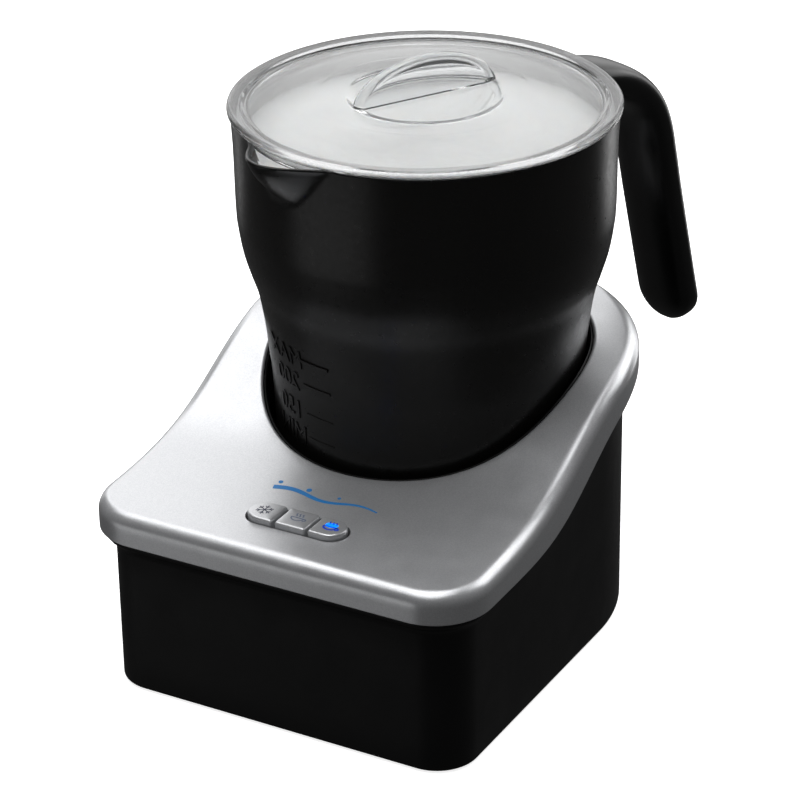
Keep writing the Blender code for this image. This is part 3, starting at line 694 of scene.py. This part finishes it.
JUG_OUTER = [  # (radius, height) up the outside, from the foot to the rim
    (0.0395, JUG_BOTTOM), (0.0416, 0.0448), (0.0428, 0.0460), (0.0437, 0.0505), (0.0442, 0.0630),
    (0.0448, 0.0760), (0.0455, 0.0825), (0.0461, 0.0885), (0.0469, 0.0945), (0.0482, 0.1015),
    (0.0500, 0.1072), (0.0518, 0.1134), (0.0529, 0.1200), (0.0534, 0.1260), (0.0536, 0.1423),
    (0.0538, 0.1480), (0.0541, JUG_RIM),
]


def spout(angle, height):
    """How far the wall is pulled out for the pouring lip, narrower lower down."""
    lift = min(1.0, (height - JUG_RIM + SPOUT_DEPTH) / SPOUT_DEPTH)
    turn = abs((angle - SPOUT_ANGLE + 180) % 360 - 180)
    half = SPOUT_HALF_ANGLE * (0.4 + 0.6 * lift)
    if lift <= 0 or turn >= half:
        return 0.0
    return SPOUT_REACH * sin(pi / 2 * lift) * cos(pi / 2 * turn / half) ** 2


def jug_radius(height):
    """Outside radius of the jug away from the spout."""
    for (r1, z1), (r2, z2) in zip(JUG_OUTER, JUG_OUTER[1:]):
        if height <= z2:
            return r1 + (r2 - r1) * (height - z1) / (z2 - z1)
    return JUG_OUTER[-1][0]


def jug_angles():
    """Directions round the jug, closer together across the spout."""
    fine = [SPOUT_ANGLE - SPOUT_HALF_ANGLE + 2 * SPOUT_HALF_ANGLE * k / 64 for k in range(64)]
    rest = 360 - 2 * SPOUT_HALF_ANGLE
    return fine + [SPOUT_ANGLE + SPOUT_HALF_ANGLE + rest * k / 200 for k in range(200)]


def round_jug(degrees, radius, height):
    """The place at that bearing, distance and height."""
    return at(radius * cos(radians(degrees)), radius * sin(radians(degrees)), height)


def jug_ring(radius, height, pull=None):
    """A ring round the jug, drawn out at the spout as at the height pull, or at its own."""
    ring = []
    for degrees in jug_angles():
        out = spout(degrees, height if pull is None else pull)
        ring.append(round_jug(degrees, radius + out, height + SPOUT_RISE * out / SPOUT_REACH))
    return ring


def make_jug():
    """Pressed body with a rolled rim and a round-cornered floor."""
    profile = [tuple(point) for point in smooth_path(JUG_OUTER, 6)]
    profile = [point for point in profile if point[1] < JUG_RIM - 0.0007]
    rings = [jug_ring(radius, height) for radius, height in profile]
    half_wall = JUG_WALL / 2
    for turn in range(0, 181, 20):
        radius = JUG_OUTER[-1][0] - half_wall + half_wall * cos(radians(turn))
        height = JUG_RIM - half_wall + half_wall * sin(radians(turn))
        rings.append(jug_ring(radius, height, JUG_RIM))
    inside = [(radius - JUG_WALL, height) for radius, height in reversed(profile) if height > 0.0490]
    rings += [jug_ring(radius, height) for radius, height in inside]
    floor = JUG_BOTTOM + JUG_WALL
    for turn in range(15, 91, 15):
        radius = JUG_OUTER[0][0] + 0.0028 * cos(radians(turn))
        rings.append(jug_ring(radius, floor + 0.0035 * (1 - sin(radians(turn)))))
    rings.append(jug_ring(0.0200, floor))
    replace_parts(piece("jug_shell", loft(rings, False), "jug_coating", "jug"), "jug_body")


def handle_section(centre, sideways, across, width, depth, count=48):
    """A cross-section between an oval and a rectangle."""
    ring = []
    for step in range(count):
        angle = 2 * pi * step / count
        x = abs(cos(angle)) ** 0.72 * (1 if cos(angle) > 0 else -1)
        y = abs(sin(angle)) ** 0.72 * (1 if sin(angle) > 0 else -1)
        ring.append(centre + sideways * width * x + across * depth * y)
    return ring


def make_handle():
    """Handle: out from the rim, over a bend, then down and slightly outwards to a round tip."""
    stations = [
        (0.0545, 0.1462), (0.0623, 0.1460), (0.0702, 0.1440), (0.0775, 0.1398), (0.0829, 0.1340),
        (0.0864, 0.1265), (0.0886, 0.1170), (0.0913, 0.1040), (0.0949, 0.0880), (0.0983, 0.0730),
        (0.0996, 0.0674),
    ]
    out = Vector((cos(radians(HANDLE_ANGLE)), sin(radians(HANDLE_ANGLE)), 0))
    sideways = Vector((-out.y, out.x, 0))
    centres = [at(0, 0, 0) + out * p[0] + Vector((0, 0, p[1])) for p in smooth_path(stations, 8)]
    rings = []
    for i, centre in enumerate(centres):
        along = (centres[min(i + 1, len(centres) - 1)] - centres[max(i - 1, 0)]).normalized()
        if i == 0:
            along = out
        across = sideways.cross(along)
        if i == 0:
            start = HANDLE_HALF_WIDTH - HANDLE_BEVEL, HANDLE_HALF_DEPTH - HANDLE_BEVEL
            rings.append(handle_section(centre, sideways, across, *start))
            centre = centre + out * HANDLE_BEVEL
        rings.append(handle_section(centre, sideways, across, HANDLE_HALF_WIDTH, HANDLE_HALF_DEPTH))
    along = (centres[-1] - centres[-2]).normalized()
    across = sideways.cross(along)
    for turn in range(8, 86, 7):
        share = cos(radians(turn))
        tip = centres[-1] + along * HANDLE_TIP * sin(radians(turn))
        width, depth = HANDLE_HALF_WIDTH * share, HANDLE_HALF_DEPTH * sqrt(share)
        rings.append(handle_section(tip, sideways, across, width, depth))
    handle = piece("grip", loft(rings, False), "handle_black", "jug", 50)
    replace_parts(handle, "jug_handle")


LEVELS = (  # word, height, half the line's thickness, and its relief
    ("MAX", 0.0908, 0.00045, 0.00036),
    ("200", 0.0830, 0.00040, 0.00030),
    ("150", 0.0737, 0.00022, 0.00016),
    ("MIN", 0.0662, 0.00022, 0.00016),
)
LINE_START, LINE_SWEEP, LINE_STEPS = -110.4, 12.9, 24  # degrees round the jug
FIGURE_MIDDLE, FIGURE_SIZE, FIGURE_DROP, FIGURE_RELIEF = -120.5, 0.0080, 0.0028, 0.00026
ROOT = -0.0002  # the marks start this far inside the wall


def on_jug(degrees, height, proud):
    """A place on the jug's wall, or that far outside it."""
    return round_jug(degrees, jug_radius(height) + proud, height)


def wrap(mesh, start, base, proud):
    """Bends a flat mesh, made in X and Y and 1 thick, mirrored round the jug from the angle start."""
    for vertex in mesh.vertices:
        x, y, z = vertex.co
        degrees = start - x / jug_radius(base) * 180 / pi
        vertex.co = on_jug(degrees, base + y, proud * 2 * z)


def make_marks():
    """Marks of level: a line each, and its figures read from inside the jug, so mirrored outside."""
    bm = bmesh.new()
    for _, height, half, proud in LEVELS:
        low, high = height - half, height + half
        corners = ((low, ROOT), (low, proud), (high, proud), (high, ROOT))
        bearings = [LINE_START + LINE_SWEEP * k / LINE_STEPS for k in range(LINE_STEPS + 1)]
        join_rings(bm, [[on_jug(degrees, z, out) for z, out in corners] for degrees in bearings], False)
    piece("level_lines", bm, "jug_coating", "jug")
    for word, height, *_ in LEVELS:
        text = bpy.data.curves.new("level_figures", "FONT")
        text.body = word
        text.size = FIGURE_SIZE
        text.extrude = 0.5
        text.align_x = "CENTER"
        text.resolution_u = 3
        holder = linked("level_figures", text)
        bpy.context.view_layer.update()
        mesh = bpy.data.meshes.new_from_object(holder.evaluated_get(bpy.context.evaluated_depsgraph_get()))
        bpy.data.objects.remove(holder)
        wrap(mesh, FIGURE_MIDDLE, height - FIGURE_DROP, FIGURE_RELIEF)
        bm = bmesh.new()
        bm.from_mesh(mesh)
        bpy.data.meshes.remove(mesh)
        piece(f"level_{word.lower()}", bm, "jug_coating", "jug")


def make_froth():
    """Milk foam: crowned in the middle, drawn up at the wall, and risen into the spout."""
    steps, middle, brim, depth = 160, 0.004, 0.0516, 0.0120
    pull_from = 0.040
    bm = bmesh.new()
    rows = []
    for radius in [0.0, middle] + [middle + (brim - middle) * k / 30 for k in range(1, 31)]:
        ring = []
        for k in range(steps if radius else 1):
            angle = 2 * pi * k / steps
            reach = radius
            if radius > pull_from:
                pull = spout(angle * 180 / pi, FROTH_LEVEL)
                reach += 0.7 * pull * min(1.0, (radius - pull_from) / (brim - pull_from))
            x, y = reach * cos(angle), reach * sin(angle)
            swell = noise.noise(Vector((x, y, 0)) * 60) * 0.0006
            swell += noise.noise(Vector((x, y, 1)) * 260) * 0.00022
            crown = 0.0012 * cos(pi / 2 * min(1.0, radius / brim))
            ring.append(bm.verts.new(at(x, y, FROTH_LEVEL + crown + swell)))
        rows.append(ring)
    for share, height in ((0.25, 0.1500), (0.80, 0.1530)):
        ring = []
        for k in range(steps):
            degrees = 360 * k / steps
            pull = spout(degrees, height)
            lift = (height - FROTH_LEVEL) * min(1.0, 1.6 * pull / SPOUT_REACH)
            ring.append(bm.verts.new(round_jug(degrees, 0.0519 + share * pull, FROTH_LEVEL + lift)))
        rows.append(ring)
    for radius, drop in ((0.0514, 0.0010), (0.0505, depth)):
        places = [round_jug(360 * k / steps, radius, FROTH_LEVEL - drop) for k in range(steps)]
        rows.append([bm.verts.new(place) for place in places])
    rows.append([bm.verts.new(at(0, 0, FROTH_LEVEL - depth))])
    skin(bm, rows)
    piece("milk_froth", bm, "milk_froth", "jug", 60)


# ---- lid ----


def make_lid():
    """Clear lid: stepped flange, plug with its groove, sunk dish, and an arched fin with a thicker rim."""
    profile = [
        (0, LID_DISH), (0.0194, LID_DISH), (0.0216, 0.1580), (0.0300, 0.1576), (0.0400, 0.1566),
        (0.0494, 0.1554), (0.0504, LID_TOP - 0.0002), (0.0538, LID_TOP),
        (LID_RADIUS, LID_TOP - 0.0007), (LID_RADIUS, JUG_RIM + GAP), (0.0514, JUG_RIM + GAP),
        (0.0514, 0.1534), (0.0507, 0.1534), (0.0507, 0.1516), (0.0514, 0.1516), (0.0514, 0.1506),
        (0.0497, 0.1506), (0.0493, 0.1540), (0.0400, 0.1552), (0.0300, 0.1562), (0.0220, 0.1566),
        (0.0198, LID_DISH - 0.0014), (0, LID_DISH - 0.0014),
    ]
    lid = piece("clear_lid", turned(rounded(profile, 0.0005), AROUND), "clear_plastic", "lid")
    turn = Matrix.Rotation(radians(FIN_ANGLE), 4, "Z")
    shift = Matrix.Translation(at(0, 0, LID_DISH - 0.0003))
    boolean(lid, fin_body(shift @ turn), "UNION")
    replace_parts(lid, "lid")
    seal = [(0.0510, 0.1531), (0.0523, 0.1528), (0.0523, 0.1522), (0.0510, 0.1519)]
    bm = turned(rounded(seal, 0.0002, True, 3), AROUND, closed=True)
    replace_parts(piece("lip_seal", bm, "seal_rubber", "lid"), "lid_seal")


def fin_body(place):
    """The arched fin as a closed body: a web with a thicker rounded rim along the arch."""
    count = 40
    half = FIN_THICKNESS / 2
    shares = ((0.55, 0.0032), (0.85, 0.0022), (1.0, 0.0012), (0.85, 0.0004), (0.45, 0.0))
    section = [(-half * share, inset) for share, inset in shares]
    section += [(-y, inset) for y, inset in reversed(section)]
    bm = bmesh.new()
    rows = []
    for k in range(count + 1):
        angle = pi * k / count
        normal = Vector((cos(angle) / (FIN_LENGTH / 2), 0, sin(angle) / FIN_HEIGHT)).normalized()
        outer = Vector((FIN_LENGTH / 2 * cos(angle), 0, FIN_HEIGHT * sin(angle)))
        row = []
        for y, inset in section:
            point = outer - normal * inset
            point.z = max(point.z, 0.0)
            row.append(bm.verts.new(place @ Vector((point.x, y, point.z))))
        rows.append(row)
    for one, two in zip(rows, rows[1:]):
        for i in range(len(section) - 1):
            bm.faces.new((one[i], one[i + 1], two[i + 1], two[i]))
    bm.faces.new([row[0] for row in rows])
    bm.faces.new([row[-1] for row in rows][::-1])
    bm.faces.new(rows[0][::-1] + rows[-1])
    return bm


# ---- buttons and prints ----

KEYS = (("cold_froth", "frost_key"), ("hot_milk", "milk_key"), ("hot_froth", "froth_key"))
KEY_ROUND = 0.0007
KEY_CROWN = 0.00003  # the middle of a key stands this far above the rest of its top
PRINT_THICK = 0.00005
PRINT_SINK = 0.00001  # prints start this far below the surface


def key_x(index):
    """Middle of a key, counted from the left."""
    return (index - 1) * BUTTON_PITCH


def rectangle(half_x, half_y, radius):
    """Plan of a rectangle with rounded corners."""
    corners = [(-half_x, -half_y), (half_x, -half_y), (half_x, half_y), (-half_x, half_y)]
    return rounded(corners, radius, True)


def key_plan(index):
    """Plan of a key about its own middle. The outer keys have a round outer end."""
    half, deep = BUTTON_WIDTH / 2, BUTTON_DEPTH / 2
    outer = index - 1
    if outer == 0:
        return rectangle(half, deep, KEY_ROUND)
    plan = arc((half - deep, 0), deep, -90, 90, 24)
    corners = rounded([(half - deep, deep), (-half, deep), (-half, -deep), (half - deep, -deep)], KEY_ROUND)
    plan += corners[:-1]
    return [(x * outer, y) for x, y in plan]


def key_ring(index, inset, height):
    """The key's plan at that height, drawn in by inset."""
    share = 1 - 2 * inset / BUTTON_WIDTH
    return [at(key_x(index) + x * share, BUTTON_Y + y * share, height) for x, y in key_plan(index)]


def make_key(index):
    """Cap of a key: rounded edge, slightly raised middle, and the flange that keeps it in the cover."""
    rings = [key_ring(index, 0, 0.0555)]
    for turn in range(0, 91, 15):
        inset = KEY_ROUND * (1 - cos(radians(turn)))
        rings.append(key_ring(index, inset, BUTTON_TOP - 0.0001 - KEY_ROUND * (1 - sin(radians(turn)))))
    rings.append(key_ring(index, 0.0016, BUTTON_TOP - KEY_CROWN))
    rings.append(key_ring(index, 0.0030, BUTTON_TOP))
    bm = loft(rings, False)
    corners = rectangle((BUTTON_WIDTH - 0.0002) / 2, (BUTTON_DEPTH + 0.0032) / 2, 0.0004)
    flange = [[at(key_x(index) + x, BUTTON_Y + y, z) for x, y in corners] for z in (0.0542, 0.0554)]
    join_rings(bm, flange, False)
    cad, name = KEYS[index]
    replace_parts(piece(name, bm, "silver_paint", f"{cad}_key"), f"{cad}_button")


def stroke(bm, points, width, surface, closed=False):
    """A flat printed line through points (x, y), laid on the surface given by surface(x, y)."""
    places = [Vector(point) for point in points]
    count = len(places)
    rows = []
    for i, here in enumerate(places):
        before = places[i - 1] if closed or i else here
        after = places[(i + 1) % count] if closed or i < count - 1 else here
        along = (after - before).normalized()
        side = Vector((-along.y, along.x)) * (width(i / max(1, count - 1)) if callable(width) else width) / 2
        left, right = here + side, here - side
        corners = []
        for place, lift in ((left, 0.0), (left, PRINT_THICK), (right, PRINT_THICK), (right, 0.0)):
            corners.append(at(place.x, place.y, surface(place.x, place.y) + lift - PRINT_SINK))
        rows.append(corners)
    join_rings(bm, rows, closed)


def blob(bm, centre, radius, surface, steps=24, squash=1.0, thick=PRINT_THICK):
    """A flat printed round spot."""
    angles = [2 * pi * k / steps for k in range(steps)]
    plan = [(centre[0] + radius * cos(a), centre[1] + radius * squash * sin(a)) for a in angles]
    low = [at(x, y, surface(x, y) - PRINT_SINK) for x, y in plan]
    high = [at(x, y, surface(x, y) + thick) for x, y in plan]
    join_rings(bm, [low, high], False)


def key_surface(x, y):
    """Height that the keys' marks lie at, which is the same all over."""
    return BUTTON_TOP - KEY_CROWN


def snowflake(bm, x, y):
    """Six arms with two barbs each."""
    reach = 0.0025
    for arm in range(6):
        angle = pi / 6 + arm * pi / 3
        way = Vector((cos(angle), sin(angle)))
        middle = Vector((x, y))
        stroke(bm, [middle, middle + way * reach], 0.00038, key_surface)
        for side in (-1, 1):
            turn = angle + side * pi / 4
            start = middle + way * reach * 0.52
            stroke(bm, [start, start + Vector((cos(turn), sin(turn))) * reach * 0.42], 0.00034, key_surface)


def steam(bm, x, y, width):
    """Three wavy lines side by side."""
    for offset in (-0.0010, 0.0, 0.0010):
        points = [(x + offset + 0.00025 * sin(2 * pi * k / 12), y + 0.0014 * k / 12) for k in range(13)]
        stroke(bm, points, width, key_surface)


def cup(bm, x, y, width):
    """A cup in outline: its bowl, closed by a line at the brim, and its ear."""
    bowl = [(x + 0.0019 * cos(a), y + 0.0016 * sin(a)) for a in [pi + pi * k / 20 for k in range(21)]]
    bowl += [(x + 0.0019 - 0.0038 * k / 8, y) for k in range(1, 9)]
    stroke(bm, bowl[:-1], width, key_surface, True)
    half_turn = [pi * k / 10 for k in range(11)]
    ear = [(x + 0.0019 + 0.0008 * sin(a), y - 0.0006 + 0.0006 * cos(a)) for a in half_turn]
    stroke(bm, ear, width, key_surface)


def make_icons():
    """The keys' marks: a snowflake, a steaming cup, and a steaming cup of froth that is lit."""
    y = BUTTON_Y
    bm = bmesh.new()
    snowflake(bm, key_x(0), y)
    piece("frost_mark", bm, "dark_print", "cold_froth_key")
    bm = bmesh.new()
    cup(bm, key_x(1), y + 0.0002, 0.00040)
    steam(bm, key_x(1), y + 0.0009, 0.00036)
    piece("milk_mark", bm, "grey_print", "hot_milk_key")
    bm = bmesh.new()
    cup(bm, key_x(2), y - 0.0001, 0.00062)
    steam(bm, key_x(2), y + 0.0011, 0.00042)
    piece("froth_mark", bm, "deep_print", "hot_froth_key")
    bm = bmesh.new()
    foam_y, thick = y + 0.0004, 0.00004
    blob(bm, (key_x(2), foam_y), 0.0018, key_surface, 32, 0.55, thick)
    for offset, radius in ((-0.0011, 0.0008), (0.0002, 0.0010), (0.0012, 0.0007)):
        blob(bm, (key_x(2) + offset, foam_y + 0.0006), radius, key_surface, thick=thick)
    piece("froth_glow", bm, "lit_print", "hot_froth_key")


def cover_surface(x, y):
    """Height of the cover at that place, the same all across it."""
    return cover_height(y)


def make_ornament():
    """Printed ornament between the keys and the jug: a thinning ripple with three bubbles over it."""
    bm = bmesh.new()
    points = []
    for k in range(121):
        share = k / 120
        points.append((-0.0160 + 0.0330 * share, -0.0604 + 0.0010 * sin(2 * pi * 1.5 * share)))
    stroke(bm, points, lambda share: 0.0019 - 0.0014 * share, cover_surface)
    for x, y, radius in ((-0.0152, -0.0576, 0.0007), (-0.0058, -0.0581, 0.0008), (0.0040, -0.0584, 0.0005)):
        blob(bm, (x, y), radius, cover_surface)
    piece("ripple_print", bm, "blue_print", "base")


# ---- whisk, plate, spring and gland ----


def tube(points, radius, sides=10, closed=True):
    """A round wire along the points, as a mesh."""
    count = len(points)
    rings = []
    up = Vector((0, 0, 1))
    for i, here in enumerate(points):
        before = points[i - 1] if closed or i else here
        after = points[(i + 1) % count] if closed or i < count - 1 else here
        along = (after - before).normalized()
        one = along.cross(up if abs(along.z) < 0.9 else Vector((1, 0, 0))).normalized()
        two = along.cross(one)
        angles = [2 * pi * k / sides for k in range(sides)]
        rings.append([here + (one * cos(angle) + two * sin(angle)) * radius for angle in angles])
    return loft(rings, closed)


def make_whisk():
    """Whisk: a fine spring bent into a ring, round a hub with three short spokes."""
    turns, radius, wire = 44, 0.0148, 0.00030
    steps = turns * 12
    points = []
    for k in range(steps):
        coil = 2 * pi * turns * k / steps
        reach = radius + 0.0020 * cos(coil)
        points.append(round_jug(360 * k / steps, reach, 0.0492 + 0.0016 * sin(coil)))
    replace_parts(piece("whisk_spring", tube(points, wire, 8), "steel", "whisk", angle=60), "whisk_coil")
    hub = [
        (0.0024, 0.0590), (0.0042, 0.0590), (0.0042, 0.0520), (0.0120, 0.0510), (0.0120, 0.0472),
        (0.0050, 0.0472), (0.0050, 0.0480), (0.0024, 0.0480),
    ]
    bm = turned(rounded(hub, 0.0006, True), 96, closed=True)
    corners = ((-0.0008, -0.0006), (0.0008, -0.0006), (0.0008, 0.0006), (-0.0008, 0.0006))
    for k in range(3):
        angle = 2 * pi * k / 3 + pi / 6
        way = Vector((cos(angle), sin(angle), 0))
        side = way.cross(Vector((0, 0, 1)))
        spoke = []
        for reach in (0.0115, 0.0126):
            end = at(0, 0, 0.0494) + way * reach
            spoke.append([end + side * across + Vector((0, 0, rise)) for across, rise in corners])
        join_rings(bm, spoke, False)
    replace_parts(piece("whisk_wheel", bm, "grey_plastic", "whisk"), "whisk_hub")


def make_plate():
    """Hot plate: a disc with a step under its rim, and the hole for the temperature probe."""
    plate = [
        (0.0, 0.0440), (0.0340, 0.0440), (0.0352, 0.0428), (0.0352, 0.0397), (0.0385, 0.0397),
        (0.0385, 0.0382), (0.0315, 0.0382), (0.0315, 0.0415), (0.0, 0.0415),
    ]
    disc = piece("hot_plate", turned(rounded(plate, 0.0004), AROUND), "aluminium", "base")
    hole = [(0, 0.0400), (0.0032, 0.0400), (0.0032, 0.0450), (0, 0.0450)]
    boolean(disc, turned(hole, 48, at(0, SENSOR_Y, 0)), "DIFFERENCE")
    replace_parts(disc, "heating_plate")


def make_spring():
    """Spring under the temperature probe, at one fixed length; the real spring shortens as the jug presses
    the probe down.
    """
    turns, coil, wire, low, high = 4, 0.0022, 0.0003, 0.0318, 0.0384
    steps = turns * 32
    points = []
    for k in range(steps + 1):
        angle = 2 * pi * turns * k / steps
        points.append(at(coil * cos(angle), SENSOR_Y + coil * sin(angle), low + (high - low) * k / steps))
    spring = piece("probe_spring", tube(points, wire, 10, False), "steel", "base", angle=60)
    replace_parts(spring, "sensor_spring")
    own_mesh(spring)


def make_gland():
    """Rubber bush that the cord would come in through."""
    bush = [
        (0.0034, 0.0594), (0.0080, 0.0594), (0.0080, 0.0565), (0.0060, 0.0565), (0.0060, 0.0480),
        (0.0034, 0.0480),
    ]
    bm = turned(rounded(bush, 0.0005, True), 64, at(0, 0, INLET_HEIGHT), "Y", closed=True)
    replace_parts(piece("inlet_bush", bm, "foot_rubber", "base"), "cord_gland")


# ---- finishes of the CAD nodes ----

NODE_FINISHES = {  # the nodes that take each finish, by how their names start
    "black_shell": ("bottom_cover",),
    "foot_rubber": ("foot_",),
    "zinc": ("housing_screw", "bracket_screw", "board_screw", "handle_screw", "motor_can", "motor_bracket"),
    "steel": ("temperature_sensor", "motor_shaft", "whisk_pin", "handle_bracket"),
    "sheath": ("heater_element",),
    "grey_plastic": ("gland_nut", "sensor_guide", "motor_end_cap", "terminal_block"),
    "component": (
        "thermal_cutout",
        "heater_relay",
        "smoothing_capacitor",
        "cold_froth_switch",
        "hot_milk_switch",
        "hot_froth_switch",
    ),
    "circuit_board": ("control_board", "power_board"),
    "winding_tape": ("transformer",),
    "ferrite": ("magnet_carrier",),
    "magnet": ("drive_magnet_", "whisk_magnet_"),
    "blue_print": ("cold_froth_light", "hot_milk_light"),
    "lit_print": ("hot_froth_light",),
}


def finish_nodes():
    """Gives each CAD node its finish. The replaced ones, which don't show, are black."""
    for name, node in nodes.items():
        found = [finish for finish, starts in NODE_FINISHES.items() if name.startswith(starts)]
        for slot in node.material_slots:
            slot.material = MATERIALS[found[0] if found else "black_shell"]


# ---- studio ----


def make_floor():
    """A pale floor, which lights and shows in nothing else."""
    f = Finish("studio_floor")
    f.colour(f.noise(0.4, 2), (0.80, 0.80, 0.80), (0.82, 0.82, 0.82))
    f.plain(Roughness=0.9, Specular_IOR_Level=0.1, Emission_Color=(1, 1, 1, 1), Emission_Strength=0.84)
    bm = bmesh.new()
    bmesh.ops.create_circle(bm, cap_ends=True, segments=96, radius=6)
    floor = linked("studio_floor", mesh_from("studio_floor", bm))
    floor.data.materials.append(f.material)
    floor.visible_glossy = False
    floor.visible_transmission = False
    floor.visible_diffuse = False


LIGHT_TARGET = Vector((0, 0, 0.08))
LIGHTS = (  # name, azimuth, elevation, distance, width, height, power
    ("back_box", 210, 30, 0.8, 0.95, 0.8, 3.6),
    ("top_box", 205, 72, 1.2, 0.45, 0.45, 2.4),
    ("edge_box", 262, 58, 1.0, 0.5, 0.5, 1.8),
    ("rim_box", 152, 38, 0.9, 0.6, 0.6, 3.0),
    ("front_box", 350, 76, 1.0, 0.75, 0.75, 5.2),
    ("front_board", 332, -14, 0.6, 0.5, 0.3, 0.26),
    ("right_board", 166, 6, 0.55, 0.16, 0.5, 0.55),
    ("left_board", 246, 6, 0.55, 0.09, 0.5, 0.13),
)
WORLD_GLOW = 0.075  # how bright the backdrop is to all but the camera
VIEW_TARGET = at(0.0021726, -0.0204162, 0.0725406)
VIEW_AZIMUTH, VIEW_ELEVATION, VIEW_ROLL = 29.5, 26.6, -0.85
VIEW_DISTANCE = 0.91556
LENS, SENSOR = 145.65, 36  # millimetres


def bearing(azimuth, elevation):
    """The way to that bearing, in degrees. Azimuth 0 is in front of the buttons, and 90 to their right."""
    a, e = radians(azimuth), radians(elevation)
    return Vector((sin(a) * cos(e), -cos(a) * cos(e), sin(e)))


def area_light(name, azimuth, elevation, distance, width, height, power):
    """A soft box at that bearing from the target."""
    light = bpy.data.lights.new(name, "AREA")
    light.energy = power
    light.shape = "RECTANGLE"
    light.size = width
    light.size_y = height
    away = bearing(azimuth, elevation)
    obj = linked(name, light)
    obj.location = LIGHT_TARGET + away * distance
    obj.rotation_mode = "QUATERNION"
    obj.rotation_quaternion = (-away).to_track_quat("-Z", "Y")


def make_lights():
    """A white backdrop that lights the object little, soft boxes behind and above, and three low boards."""
    world = bpy.data.worlds.new("studio")
    world.use_nodes = True
    tree = world.node_tree
    background = tree.nodes["Background"]
    background.inputs["Color"].default_value = (1, 1, 1, 1)
    path = tree.nodes.new("ShaderNodeLightPath")
    strength = tree.nodes.new("ShaderNodeMapRange")
    strength.inputs["To Min"].default_value = WORLD_GLOW
    strength.inputs["To Max"].default_value = 1.0
    tree.links.new(path.outputs["Is Camera Ray"], strength.inputs["Value"])
    tree.links.new(strength.outputs["Result"], background.inputs["Strength"])
    bpy.context.scene.world = world
    for light in LIGHTS:
        area_light(*light)


def make_camera():
    """A long lens from the front right, a little above, turned slightly about its own axis."""
    roll = radians(VIEW_ROLL)
    away = bearing(VIEW_AZIMUTH, VIEW_ELEVATION)
    forward = -away
    level_right = forward.cross(Vector((0, 0, 1))).normalized()
    level_up = level_right.cross(forward)
    right = level_right * cos(roll) + level_up * sin(roll)
    up = level_up * cos(roll) - level_right * sin(roll)
    camera = bpy.data.cameras.new("camera")
    camera.lens = LENS
    camera.sensor_width = SENSOR
    camera.clip_start = 0.05
    camera.clip_end = 20
    obj = linked("camera", camera)
    turn = Matrix((right, up, -forward)).transposed().to_4x4()
    obj.matrix_world = Matrix.Translation(VIEW_TARGET + away * VIEW_DISTANCE) @ turn
    bpy.context.scene.camera = obj


make_housing()
make_cover()
make_well()
make_jug()
make_handle()
make_marks()
make_froth()
make_lid()
for index in range(3):
    make_key(index)
make_icons()
make_ornament()
make_whisk()
make_plate()
make_spring()
make_gland()
finish_nodes()
make_floor()
make_lights()
make_camera()
bpy.context.scene.view_settings.view_transform = "Standard"
